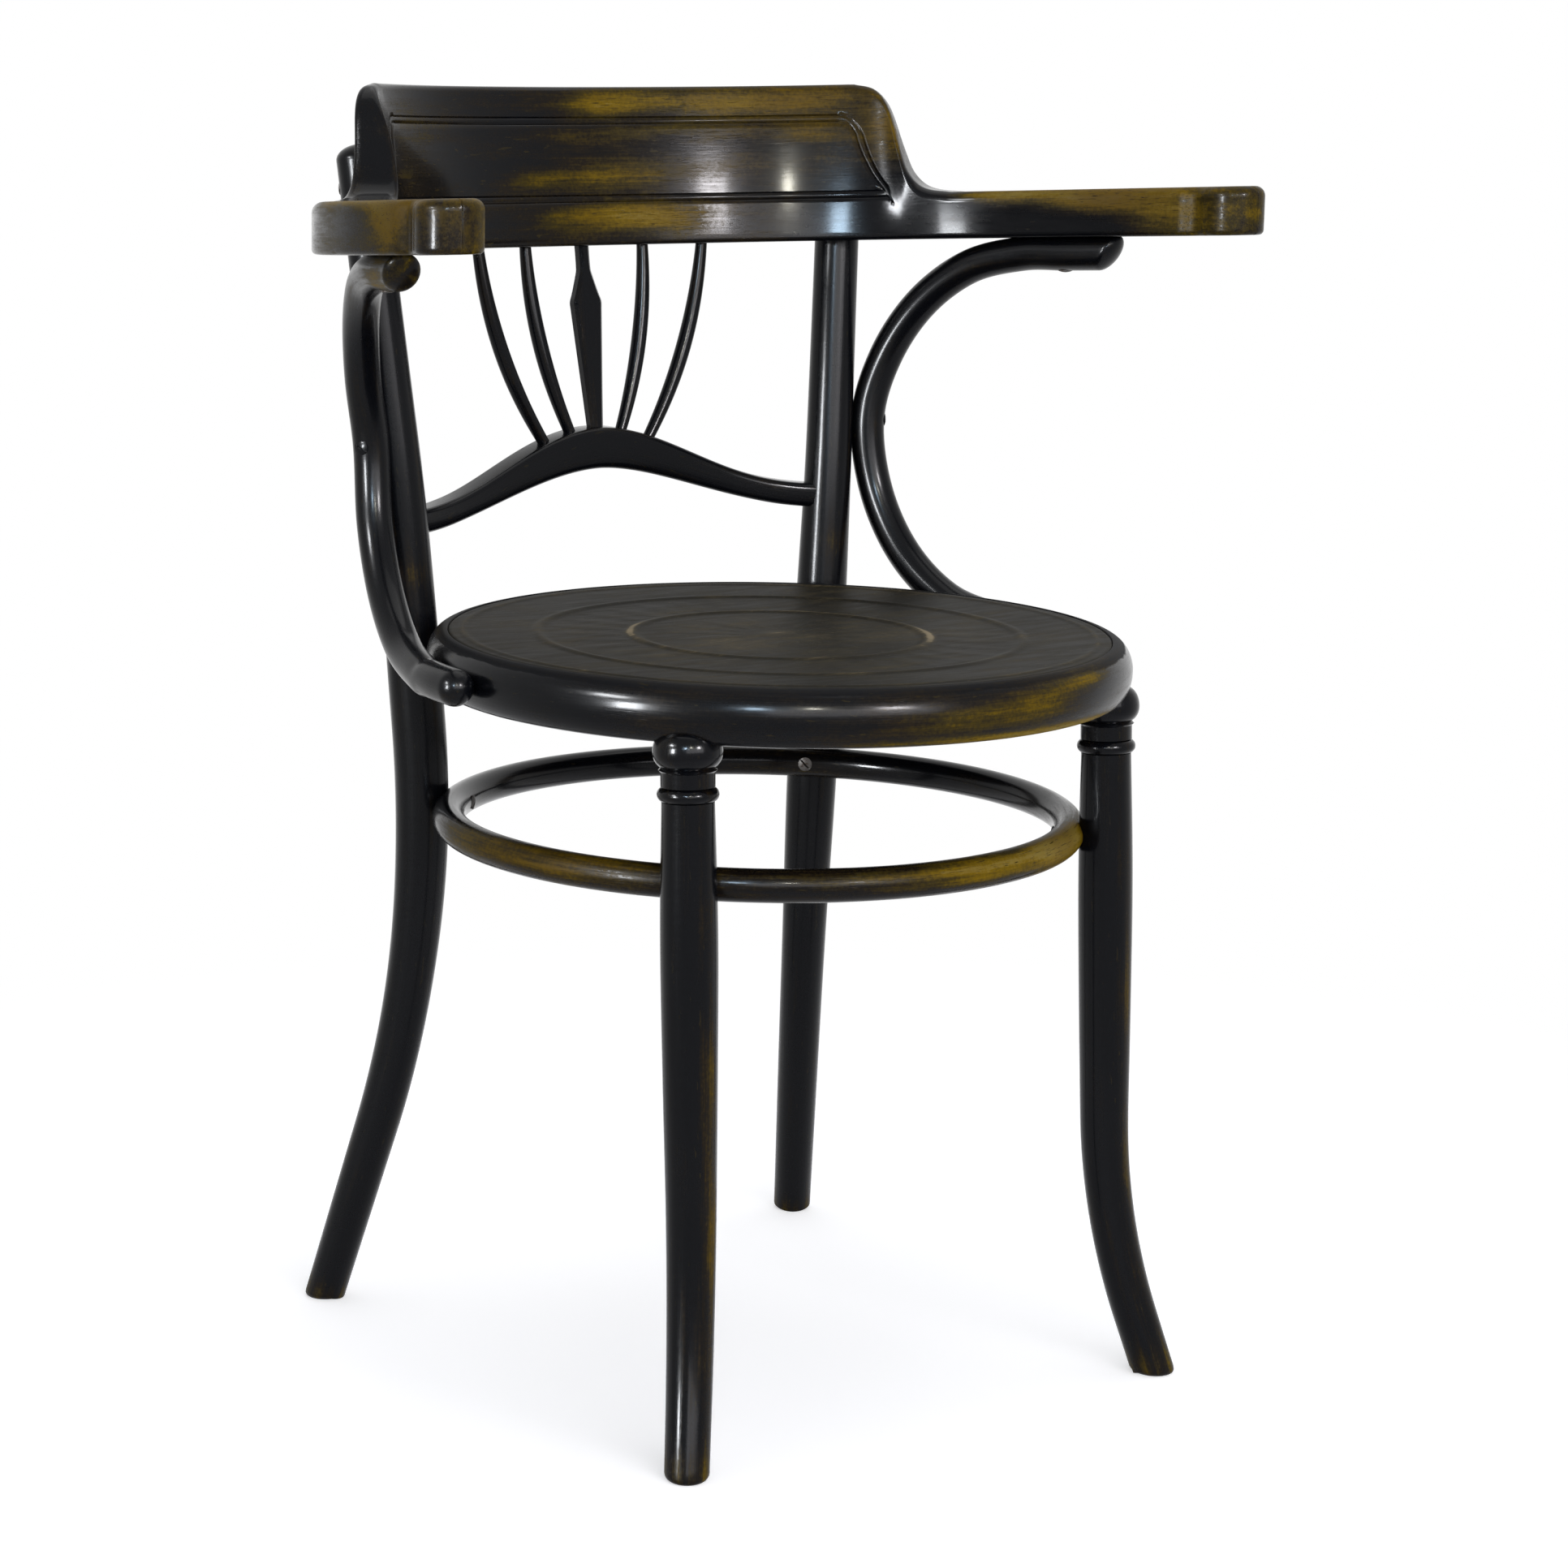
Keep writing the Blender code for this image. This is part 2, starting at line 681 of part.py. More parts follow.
def bow_half(swell):
    """Rings from the bow's middle to the tip of the left arm."""
    drop_end = CREST_HALF_LENGTH + CREST_DROP_LENGTH
    neck = BOW_HALF_LENGTH - ARM_COVE_REACH * 1.2
    distances = [CREST_HALF_LENGTH * step / 8 for step in range(8)]
    distances += [CREST_HALF_LENGTH + CREST_DROP_LENGTH * step / 9 for step in range(9)]
    distances += [drop_end + (neck - drop_end) * step / 8 for step in range(9)]
    rings = []
    for distance in distances:
        point, outward, forward = bow_side(distance)
        outer = point + outward * bow_width(distance)
        rings.append(bow_ring(point, -outward, outer, outward, outward, distance, swell))
    for reach, depth in ((ARM_COVE_REACH, 0.35), (ARM_COVE_REACH * 0.78, 1.0)):
        distance = BOW_HALF_LENGTH - reach
        point, outward, forward = bow_side(distance)
        inner = point + outward * ARM_COVE * depth
        outer = point + outward * (bow_width(distance) - ARM_COVE * depth)
        rings.append(bow_ring(inner, -outward, outer, outward, outward, distance, swell))
    point, outward, forward = bow_side(BOW_HALF_LENGTH)
    centre = point + outward * ARM_HEAD_RADIUS
    for degrees in (-34, -12, 10, 30, 48, 64, 76, 85):
        turn = math.radians(degrees)
        inner_out = forward * math.sin(turn) - outward * math.cos(turn)
        outer_out = forward * math.sin(turn) + outward * math.cos(turn)
        inner = centre + inner_out * ARM_HEAD_RADIUS
        outer = centre + outer_out * ARM_HEAD_RADIUS
        rings.append(
            bow_ring(inner, inner_out, outer, outer_out, outward, BOW_HALF_LENGTH, swell)
        )
    return rings


def bow_shape(swell=0.0):
    left = bow_half(swell)
    right = [[Vector((-point.x, point.y, point.z)) for point in ring] for ring in left[:0:-1]]
    return loft(right + left)


def bow_underside(x):
    """Middle of the bow's underside at a place across the chair."""
    low, high = 0.0, CREST_HALF_LENGTH
    for _ in range(40):
        distance = (low + high) / 2
        point, outward, forward = bow_side(distance)
        middle = point + outward * bow_width(distance) * SPINDLE_BACK_SHARE
        if middle.x < abs(x):
            low = distance
        else:
            high = distance
    return Vector((x, middle.y, bow_floor(middle.y)))


# Cross rail


def rail_place(share):
    """Centre of the rail, from -1 in one stile to 1 in the other."""
    stile = rear_leg_path(LEFT).at_height(RAIL_HEIGHT)[0]
    reach = stile.x - rear_leg_radius(RAIL_HEIGHT) + RAIL_LET_IN
    return Vector(
        (
            reach * share,
            stile.y + RAIL_BOW_BACK * (1 - share**2),
            RAIL_HEIGHT + RAIL_RISE * (1 + math.cos(math.pi * abs(share) ** 0.92)) / 2,
        )
    )


def rail_crown(share):
    """1 at the rail's middle, 0 at its ends."""
    return 1.0 - ease(abs(share) / 0.78)


def rounded_section(depth, width, round_size):
    """(up, across) points of a rectangle with rounded corners."""
    points = []
    corners = ((1, 1, 0), (-1, 1, 90), (-1, -1, 180), (1, -1, 270))
    for up, across, start in corners:
        for degrees in (start, start + 45, start + 90):
            turn = math.radians(degrees)
            points.append(
                (
                    up * (depth / 2 - round_size) + round_size * math.cos(turn),
                    across * (width / 2 - round_size) + round_size * math.sin(turn),
                )
            )
    return points


def rail_shape(swell=0.0):
    count = 10
    shares = [step / count for step in range(-count, count + 1)]
    path = Path([rail_place(share) for share in shares])
    rings = []
    for share, mark in zip(shares, path.marks):
        crown = rail_crown(share)
        depth = RAIL_END_DEPTH + (RAIL_CROWN_DEPTH - RAIL_END_DEPTH) * crown + 2 * swell
        width = RAIL_END_WIDTH + (RAIL_CROWN_WIDTH - RAIL_END_WIDTH) * crown + 2 * swell
        overrun = swell * round(share) if abs(share) == 1 else 0.0
        centre, across, over = frame_at(path, mark + overrun, UP)
        section = rounded_section(depth, width, RAIL_EDGE_ROUND)
        rings.append([centre + across * a + over * b for a, b in section])
    return loft(rings)


def rail_top(x):
    """Point on top of the rail at a place across the chair."""
    share = x / rail_place(1.0).x
    depth = RAIL_END_DEPTH + (RAIL_CROWN_DEPTH - RAIL_END_DEPTH) * rail_crown(share)
    return rail_place(share) + UP * depth / 2


# Spindles and lance


def spindle_shape(side, index, swell=0.0):
    top = bow_underside(side * SPINDLE_TOPS[index])
    foot = rail_top(side * SPINDLE_FEET[index])
    chord = top - foot
    bulge = Vector((side * abs(chord.z), 0.0, -side * chord.x)).normalized() * SPINDLE_SAGS[index]
    shares = [step / 12 for step in range(13)]
    path = Path([foot + chord * t + bulge * 4 * t * (1 - t) for t in shares])
    girth = SPINDLE_BELLY_RADIUS - SPINDLE_END_RADIUS
    stations = [(-DOWEL_LENGTH - swell, SPINDLE_END_RADIUS + swell)]
    for share, mark in zip(shares, path.marks):
        radius = SPINDLE_END_RADIUS + girth * math.sin(math.pi * share)
        stations.append((mark, radius + swell))
    stations.append((path.length + DOWEL_LENGTH + swell, SPINDLE_END_RADIUS + swell))
    return rod(path, stations, Vector((0.0, 1.0, 0.0)), SPINDLE_SIDES)


def lance_shape(swell=0.0):
    top = bow_underside(0.0)
    foot = rail_top(0.0)
    path = Path([top, foot])
    end = path.length
    stations = [
        (-DOWEL_LENGTH - swell, LANCE_STEM_WIDTH),
        (LANCE_STEM_LENGTH, LANCE_STEM_WIDTH),
        (LANCE_STEM_LENGTH + LANCE_STEP, LANCE_STEM_WIDTH + LANCE_STEP / 2),
        (LANCE_SHOULDER_DROP - LANCE_STEP, LANCE_SHOULDER_WIDTH * 0.83),
        (LANCE_SHOULDER_DROP, LANCE_SHOULDER_WIDTH),
        (LANCE_SHOULDER_DROP + LANCE_STEP, LANCE_SHOULDER_WIDTH * 0.98),
        (end, LANCE_FOOT_WIDTH),
        (end + DOWEL_LENGTH + swell, LANCE_FOOT_WIDTH),
    ]
    rings = []
    for distance, width in stations:
        centre, across, over = frame_at(path, distance, Vector((1.0, 0.0, 0.0)))
        half = width / 2 + swell
        thick = LANCE_THICKNESS / 2 + swell
        cut = LANCE_CHAMFER
        corners = [(half, thick - cut), (half - cut, thick)]
        corners += [(-a, b) for a, b in corners[::-1]]
        corners += [(-a, -b) for a, b in corners]
        rings.append([centre + across * a + over * b for a, b in corners])
    return loft(rings)


# Arm supports


def support_under_arm(distance):
    """Centre of the support rod where it lies under the left arm."""
    point, outward, forward = bow_side(distance)
    centre = point + outward * SUPPORT_INSET
    centre.z = bow_floor(centre.y) - SUPPORT_RADIUS + SUPPORT_HOUSING
    return centre


def support_contact():
    """Centre of the rod beside the left stile, and the direction from the stile to it."""
    stile = rear_leg_path(LEFT).at_height(SUPPORT_CONTACT_HEIGHT)[0]
    turn = SUPPORT_CONTACT_ANGLE
    away = Vector((math.cos(turn), -math.sin(turn), 0.0))
    reach = rear_leg_radius(SUPPORT_CONTACT_HEIGHT) + SUPPORT_RADIUS - SUPPORT_HOUSING
    return stile + away * reach, away


def support_on_seat(turn):
    """Centre of the rod beside the seat ring, at a turn from the chair's back."""
    reach = SEAT_RADIUS + SUPPORT_RADIUS - SUPPORT_HOUSING
    return Vector(
        (reach * math.sin(turn), reach * math.cos(turn), SEAT_MIDDLE + SUPPORT_SEAT_LIFT)
    )


def support_path(side):
    tip = support_under_arm(SUPPORT_TIP_SET)
    leave = support_under_arm(SUPPORT_LEAVES_ARM)
    contact, away = support_contact()
    upper_corner = leave + (leave - support_under_arm(SUPPORT_LEAVES_ARM + 0.01)).normalized() * (
        SUPPORT_ARM_BEND_REACH
    )
    reach = math.hypot(contact.x, contact.y)
    seat_reach = support_on_seat(0.0).y
    touch = math.atan2(contact.x, contact.y) + math.acos(seat_reach / reach)
    landing = support_on_seat(touch)
    lower_corner = Vector((contact.x, contact.y, landing.z))
    points = [tip, (tip + leave) / 2]
    points += quarter(leave, upper_corner, contact)
    points += quarter(contact, lower_corner, landing)[1:]
    steps = 3
    for step in range(1, steps + 1):
        turn = touch + (SUPPORT_END_ANGLE - touch) * step / steps
        points.append(support_on_seat(turn))
    return Path([Vector((side * point.x, point.y, point.z)) for point in smooth_line(points, 3)])


def support_shape(side, swell=0.0):
    path = support_path(side)
    size = SUPPORT_RADIUS + swell
    count = 28
    middle = [(path.length * step / count, size) for step in range(count + 1)]
    stations = dome(0.0, size, SUPPORT_RADIUS * 0.6, -1) + middle
    stations += dome(path.length, size, SUPPORT_RADIUS, 1)
    shape = rod(path, stations, Vector((1.0, 0.0, 0.0)), ROD_SIDES)
    tip, forward = path.points[0], (path.points[0] - path.points[1]).normalized()
    for vert in shape.verts:
        near = 1 + (vert.co - tip).dot(forward) / (2 * SUPPORT_RADIUS)
        if near > 0 and (vert.co - tip).length < 4 * SUPPORT_RADIUS:
            vert.co += forward * (vert.co.z - tip.z) * SUPPORT_TIP_SLANT * min(near, 1.0)
    return shape


# Fasteners


def aimed(shape, point, direction):
    """Turns an upright shape so that its -Z runs along a direction, from a point."""
    turn = (-UP).rotation_difference(direction).to_matrix().to_4x4()
    bmesh.ops.transform(shape, matrix=Matrix.Translation(point) @ turn, verts=shape.verts[:])
    return shape


def screw_shape(point, direction, length, swell=0.0):
    head = SCREW_HEAD_RADIUS + swell
    shank = SCREW_SHANK_RADIUS + swell
    neck = SCREW_HEAD_HEIGHT + swell
    profile = [
        (0.0, SCREW_HEAD_CROWN + swell),
        (head * 0.6, SCREW_HEAD_CROWN * 0.7 + swell),
        (head, 0.0),
        (head, -SCREW_HEAD_EDGE),
        (shank, -neck - SCREW_HEAD_EDGE),
        (shank, -length * 0.8),
        (shank * 0.5, -length - swell),
        (0.0, -length - swell),
    ]
    return aimed(spin(profile, SCREW_SIDES), point, direction)


def stretcher_screws():
    """(name, leg name, point, direction) of each screw through the stretcher."""
    radius, middle = stretcher_ring()
    places = []
    for side in (RIGHT, LEFT):
        for end, path in (("front", front_leg_path(side)), ("rear", rear_leg_path(side))):
            leg = path.at_height(STRETCHER_HEIGHT)[0]
            outward = Vector((leg.x, leg.y - middle, 0.0)).normalized()
            point = Vector((0.0, middle, STRETCHER_HEIGHT)) + outward * (radius - STRETCHER_RADIUS)
            places.append((f"{end}_{SIDE_NAMES[side]}", point, outward))
    return places


def mirrored(side, vector):
    return Vector((side * vector.x, vector.y, vector.z))


def support_screw_place(side):
    contact, away = support_contact()
    return mirrored(side, contact + away * SUPPORT_RADIUS), mirrored(side, -away)


def arm_screw_place(side):
    centre = support_under_arm((SUPPORT_TIP_SET + SUPPORT_LEAVES_ARM) / 2)
    return mirrored(side, centre - UP * SUPPORT_RADIUS), UP


def crest_screw_place(side):
    height = BOW_HEIGHT + STILE_OVERLAP * 0.6
    stile = rear_leg_path(LEFT).at_height(height)[0]
    outward = Vector((1.0, 1.0, 0.0)).normalized()
    return mirrored(side, stile + outward * rear_leg_radius(height)), mirrored(side, -outward)


def seat_screw_place(side):
    turn = SUPPORT_END_ANGLE - math.radians(8.0)
    outward = Vector((math.sin(turn), math.cos(turn), 0.0))
    point = outward * (SEAT_RADIUS - SEAT_RING_WIDTH) + UP * (SEAT_MIDDLE + SUPPORT_SEAT_LIFT)
    return mirrored(side, point), mirrored(side, outward)


def seat_bolt_axis(side):
    """Outer point and inward direction of the bolt that holds a rear leg to the seat ring."""
    leg = rear_leg_seat_point(side)
    outward = Vector((leg.x, leg.y, 0.0)).normalized()
    return leg + outward * rear_leg_radius(SEAT_MIDDLE), -outward


def seat_bolt_length():
    return 2 * rear_leg_radius(SEAT_MIDDLE) - REAR_LEG_HOUSING + SEAT_RING_WIDTH + BOLT_TAIL


def seat_bolt_shape(side, swell=0.0):
    point, inward = seat_bolt_axis(side)
    head = BOLT_HEAD_RADIUS + swell
    shank = BOLT_RADIUS + swell
    profile = [
        (0.0, BOLT_HEAD_HEIGHT * 0.6),
        (head * 0.6, BOLT_HEAD_HEIGHT * 0.45),
        (head, 0.0),
        (head, -BOLT_HEAD_HEIGHT * 0.4 - swell),
        (shank, -BOLT_HEAD_HEIGHT * 0.4 - swell),
        (shank, -seat_bolt_length() - swell),
        (0.0, -seat_bolt_length() - swell),
    ]
    return aimed(spin(profile, SCREW_SIDES), point, inward)


def collar_shape(side, depth, start, outer, steps):
    """A washer or nut round the seat bolt, from a distance inside the seat ring."""
    point, inward = seat_bolt_axis(side)
    inside = seat_bolt_length() - BOLT_TAIL + start
    bore = (BOLT_RADIUS + GAP) / math.cos(math.pi / steps)
    profile = [(outer, -inside), (outer, -inside - depth), (bore, -inside - depth), (bore, -inside)]
    return aimed(spin(profile, steps), point, inward)


# Assembly


def build():
    clear_scene()
    chair = bpy.data.objects.new(FRAME_NAME, None)
    bpy.context.scene.collection.objects.link(chair)
    rear_reach = rear_leg_seat_point(LEFT).y + REAR_FOOT_SET[1] + REAR_LEG_DIAMETERS[0] / 2
    chair.location.y = (SEAT_RADIUS - rear_reach) / 2

    ebonised = wood("ebonised_beech", (0.018, 0.017, 0.019), 0.25)
    worn = wood("worn_beech", (0.085, 0.060, 0.022), 0.32)
    pressed = wood("pressed_plywood", (0.034, 0.029, 0.019), 0.45)
    steel = metal("darkened_steel", (0.16, 0.15, 0.14), 0.45)

    seat_ring = put("seat_ring", to_mesh("seat_ring", seat_ring_shape()), ebonised)
    put("seat_panel", to_mesh("seat_panel", seat_panel_shape()), pressed)
    stretcher = put("stretcher_ring", to_mesh("stretcher_ring", stretcher_shape()), ebonised)
    bow = put("arm_bow", to_mesh("arm_bow", bow_shape()), worn)
    rail = put("cross_rail", to_mesh("cross_rail", rail_shape()), ebonised)
    legs = {}

    for side in (RIGHT, LEFT):
        name = SIDE_NAMES[side]
        path = front_leg_path(side)
        shape = rod(path, front_leg_stations(path), Vector((1.0, 0.0, 0.0)), LEG_SIDES)
        stand_on_floor(shape)
        leg = put(f"front_leg_{name}", to_mesh("front_leg", shape), ebonised)
        combine(leg, to_mesh("seat", seat_ring_shape(GAP)))
        combine(leg, to_mesh("tenon", front_leg_tenon(path)), "UNION")
        combine(leg, to_mesh("housing", stretcher_shape(GAP)))
        combine(seat_ring, to_mesh("mortise", front_leg_tenon(path, GAP)))
        legs[f"front_{name}"] = leg

        path = rear_leg_path(side)
        shape = rod(path, rear_leg_stations(path), Vector((1.0, 0.0, 0.0)), LEG_SIDES)
        stand_on_floor(shape)
        leg = put(f"rear_leg_{name}", to_mesh("rear_leg", shape), ebonised)
        combine(leg, to_mesh("seat", seat_ring_shape(GAP)))
        combine(leg, to_mesh("housing", stretcher_shape(GAP)))
        combine(leg, to_mesh("crest_housing", bow_shape(GAP)))
        combine(leg, to_mesh("rail_mortise", rail_shape(GAP)))
        combine(leg, to_mesh("bolt_hole", seat_bolt_shape(side, GAP)))
        combine(seat_ring, to_mesh("bolt_hole", seat_bolt_shape(side, GAP)))
        legs[f"rear_{name}"] = leg

        support = put(f"arm_support_{name}", to_mesh("arm_support", support_shape(side)), ebonised)
        combine(support, to_mesh("arm_seat", bow_shape(GAP)))
        combine(support, to_mesh("ring_seat", seat_ring_shape(GAP)))
        stile = rod(
            path,
            [(distance, radius + GAP) for distance, radius in rear_leg_stations(path)],
            Vector((1.0, 0.0, 0.0)),
            LEG_SIDES,
        )
        combine(support, to_mesh("stile_seat", stile))

        screws = (
            ("support_screw", support_screw_place(side), SUPPORT_SCREW_LENGTH, (support, leg)),
            ("arm_screw", arm_screw_place(side), ARM_SCREW_LENGTH, (support, bow)),
            ("crest_screw", crest_screw_place(side), CREST_SCREW_LENGTH, (leg, bow)),
            ("seat_screw", seat_screw_place(side), SEAT_SCREW_LENGTH, (seat_ring, support)),
        )
        for kind, place, length, hosts in screws:
            put(f"{kind}_{name}", to_mesh(kind, screw_shape(*place, length)), steel)
            for host in hosts:
                combine(host, to_mesh("screw_hole", screw_shape(*place, length, GAP)))
        put(f"seat_bolt_{name}", to_mesh("seat_bolt", seat_bolt_shape(side)), steel)
        washer = collar_shape(side, WASHER_THICKNESS, WASHER_LIFT, WASHER_RADIUS, ROD_SIDES)
        put(f"seat_washer_{name}", to_mesh("seat_washer", washer), steel)
        nut_start = WASHER_LIFT + WASHER_THICKNESS + GAP
        nut = collar_shape(side, NUT_HEIGHT, nut_start, NUT_WIDTH / math.sqrt(3), 6)
        put(f"seat_nut_{name}", to_mesh("seat_nut", nut), steel)

        for index, kind in enumerate(("outer", "inner")):
            put(f"spindle_{kind}_{name}", to_mesh("spindle", spindle_shape(side, index)), ebonised)
            for host in (bow, rail):
                combine(host, to_mesh("dowel_hole", spindle_shape(side, index, GAP)))

    put("lance_splat", to_mesh("lance_splat", lance_shape()), ebonised)
    for host in (bow, rail):
        combine(host, to_mesh("lance_mortise", lance_shape(GAP)))
    for name, point, outward in stretcher_screws():
        shape = screw_shape(point, outward, STRETCHER_SCREW_LENGTH)
        put(f"stretcher_screw_{name}", to_mesh("stretcher_screw", shape), steel)
        for host in (stretcher, legs[name]):
            hole = screw_shape(point, outward, STRETCHER_SCREW_LENGTH, GAP)
            combine(host, to_mesh("screw_hole", hole))


build()
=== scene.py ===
"""Bentwood armchair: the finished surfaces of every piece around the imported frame, in metres, +Z up."""

import functools
import math

import bmesh
import bpy
from mathutils import Matrix, Vector


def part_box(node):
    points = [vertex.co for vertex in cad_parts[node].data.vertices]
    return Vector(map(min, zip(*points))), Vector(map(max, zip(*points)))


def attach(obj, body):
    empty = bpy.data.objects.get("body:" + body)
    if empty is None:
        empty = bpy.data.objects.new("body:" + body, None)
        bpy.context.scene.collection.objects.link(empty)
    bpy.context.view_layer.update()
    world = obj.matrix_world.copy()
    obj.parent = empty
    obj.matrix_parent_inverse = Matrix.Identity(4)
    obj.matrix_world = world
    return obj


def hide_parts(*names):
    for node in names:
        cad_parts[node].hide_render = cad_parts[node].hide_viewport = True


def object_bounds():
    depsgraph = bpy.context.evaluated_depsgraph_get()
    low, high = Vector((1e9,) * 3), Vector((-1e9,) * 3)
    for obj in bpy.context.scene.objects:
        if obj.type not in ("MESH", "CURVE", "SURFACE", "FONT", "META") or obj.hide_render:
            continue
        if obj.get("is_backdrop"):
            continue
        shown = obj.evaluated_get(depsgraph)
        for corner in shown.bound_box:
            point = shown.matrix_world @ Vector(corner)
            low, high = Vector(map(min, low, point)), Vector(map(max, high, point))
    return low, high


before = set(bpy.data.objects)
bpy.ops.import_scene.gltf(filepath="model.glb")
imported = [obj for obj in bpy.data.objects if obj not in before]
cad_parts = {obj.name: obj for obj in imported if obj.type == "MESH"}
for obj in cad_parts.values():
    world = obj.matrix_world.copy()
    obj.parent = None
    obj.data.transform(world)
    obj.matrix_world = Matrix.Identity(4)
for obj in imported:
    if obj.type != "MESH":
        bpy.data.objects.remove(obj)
CAD_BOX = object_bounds()

BODY = "root"

# The seat's middle, from which every piece is set out
PANEL_LOW, PANEL_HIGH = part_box("seat_panel")
SEAT_CENTRE = Vector((0.0, (PANEL_LOW.y + PANEL_HIGH.y) / 2, 0.0))

# Seat
SEAT_RADIUS = 0.2165
SEAT_HEIGHT = 0.458
SEAT_RING_DEPTH = 0.034
SEAT_RING_WIDTH = 0.037
SEAT_TOP_ROUND = 0.0125
SEAT_UNDER_ROUND = 0.0090
SEAT_RIM = 0.013
PANEL_GAP = 0.0003
LIP_EASE = 0.0006
SEAT_INNER_EASE = 0.002
PANEL_THICKNESS = 0.0045
PANEL_DISH = 0.0018
PANEL_FLAT_SHARE = 0.55
PANEL_RING_RADII = (0.0905, 0.1490)
PANEL_RING_WIDTH = 0.0100
PANEL_RING_RISE = 0.0010
PANEL_LINE_RADIUS = 0.1945
PANEL_LINE_HALF = 0.0030
PANEL_BOSS_RADIUS = 0.018
# Bands of leaves, as (inner radius, outer radius, leaves, height over a ring's)
PANEL_LEAVES = ((0.098, 0.143, 32, 0.26), (0.026, 0.070, 16, 0.16))
# Where the inner ring is rubbed light, as (turn from the front, reach, strength)
PANEL_CRESCENTS = ((-2.25, 0.34, 0.80), (1.00, 0.30, 0.72), (2.35, 0.60, 0.42))

# Front legs
FRONT_LEG_ANGLE = math.radians(50.6)
FRONT_LEG_INSET = 0.0155
FRONT_KNEE_HEIGHT = 0.098
FRONT_KNEE_BEND = 0.42
FRONT_KNEE_SET = (0.0006, -0.0157)
FRONT_FOOT_SET = (0.0217, -0.0446)
FRONT_LEG_DIAMETERS = (0.0264, 0.0280, 0.0300, 0.0324, 0.0336, 0.0306)
BEAD_RADIUS = 0.0180
BEAD_DROP = 0.0300
BEAD_HALF = 0.0043
NECK_RADIUS = 0.0158
NECK_TOP_DROP = 0.0165
NECK_FILLET = 0.0012
BULB_RADIUS = 0.0203
BULB_DROP = 0.0055
BULB_RISE = 0.0080

# Rear legs, which run on up as the stiles of the back
REAR_LEG_ANGLE = math.radians(42.4)
REAR_LEG_HOUSING = 0.0005
REAR_KNEE_HEIGHT = 0.250
REAR_KNEE_BEND = 0.71
REAR_KNEE_SET = (-0.0115, -0.0064)
REAR_FOOT_SET = (0.0313, 0.0592)
REAR_WAIST_HEIGHT = 0.530
REAR_WAIST_BEND = 1.2
REAR_WAIST_SET = (0.0078, 0.0062)
STILE_OVERLAP = 0.0670
STILE_TOP_SET = (0.0268, 0.0274)
REAR_LEG_DIAMETERS = (0.0253, 0.0275, 0.0296, 0.0332, 0.0337, 0.0309, 0.0294, 0.0289)
STILE_DOME_RISE = 0.0090
FOOT_CHAMFER = 0.0040
FOOT_OVERRUN = 0.0150

# Round stretcher
STRETCHER_HEIGHT = 0.3376
STRETCHER_RADIUS = 0.0100
STRETCHER_HOUSING = 0.0035

# Arm bow: the crest rail and both arms, bent from one plank
BACK_BEND = 0.300
BACK_TURN = math.radians(15.9)
SHOULDER_BEND = 0.2177
SHOULDER_TURN = math.radians(70.3)
ARM_BEND = 0.864
BOW_HALF_LENGTH = 0.447
BOW_HEIGHT = 0.6785
BOW_TILT = math.radians(4.0)
STILE_TOP_HEIGHT = BOW_HEIGHT + STILE_OVERLAP
CREST_HEIGHT = 0.102
CREST_BACK_RAKE = math.radians(7.0)
CREST_FRONT_RAKE = math.radians(11.0)
CREST_HALF_LENGTH = 0.177
CREST_DROP_LENGTH = 0.066
CREST_DROP_SHAPE = (
    (0.0, 1.0),
    (0.19, 0.945),
    (0.33, 0.78),
    (0.47, 0.42),
    (0.57, 0.19),
    (0.72, 0.05),
    (1.0, 0.0),
)
ARM_HEIGHT = 0.0305
ARM_HEAD_RADIUS = 0.0195
ARM_COVE = 0.0035
ARM_NECK_SET = 0.020
# The cove deepens over one run, from this many runs before the arm's end
COVE_RUN = 0.014
COVE_START = 2.10
COVE_FILLET = 0.0040
HEAD_START = math.radians(9.0)
ARM_WIDTHS = (0.0195, 0.0275, 0.0425, 0.0505, 0.0553, 0.0560, 0.0530, 0.0465, 0.0388)
CREST_TOP_ROUND = 0.0040
ARM_TOP_ROUND = 0.0065
BOW_UNDER_ROUND = 0.0030
BOW_HOUSING = 0.0015

# The crest rail's front face is a little crowned, about the moulding's lower line
FACE_CROWN = 0.80
FACE_CROWN_HEIGHT = 0.030

# Sunk moulding that frames the front of the crest rail
GROOVE_LOW = 0.0300
GROOVE_HIGH = 0.0800
GROOVE_END = 0.1800
GROOVE_FLARE = 0.0230
GROOVE_HALF_WIDTH = 0.0028
GROOVE_BEAD_HALF = 0.0014
GROOVE_DEPTH = 0.0010
GROOVE_CORNER = 0.0060
BEAD_SIDE_SHARE = 0.35
BEAD_TOP_SHARE = 0.10
# The mesh leans from one length to another of the bow, each as (start, run), and eases off at its top
LEAN_IN = (0.135, 0.040)
LEAN_OUT = (0.190, 0.060)
LEAN_TOP_SET = 0.004
LEAN_TOP_RUNS = (0.010, 0.015)
# Runs of the bow's mesh along its length, either side of the moulding's end
CREST_RUN_END = 0.174
DROP_RUN = (0.1845, 0.2505)
ARM_RUN_START = 0.2525

# Cupid-bow rail between the stiles
RAIL_HEIGHT = 0.5135
RAIL_RISE = 0.0357
RAIL_BOW_BACK = 0.0335
RAIL_END_DEPTH = 0.0155
RAIL_CROWN_DEPTH = 0.0265
RAIL_END_WIDTH = 0.0180
RAIL_CROWN_WIDTH = 0.0220
RAIL_CROWN_SHAPE = 0.92
RAIL_CROWN_REACH = 0.78
RAIL_EDGE_ROUND = 0.0040
RAIL_LET_IN = 0.0090

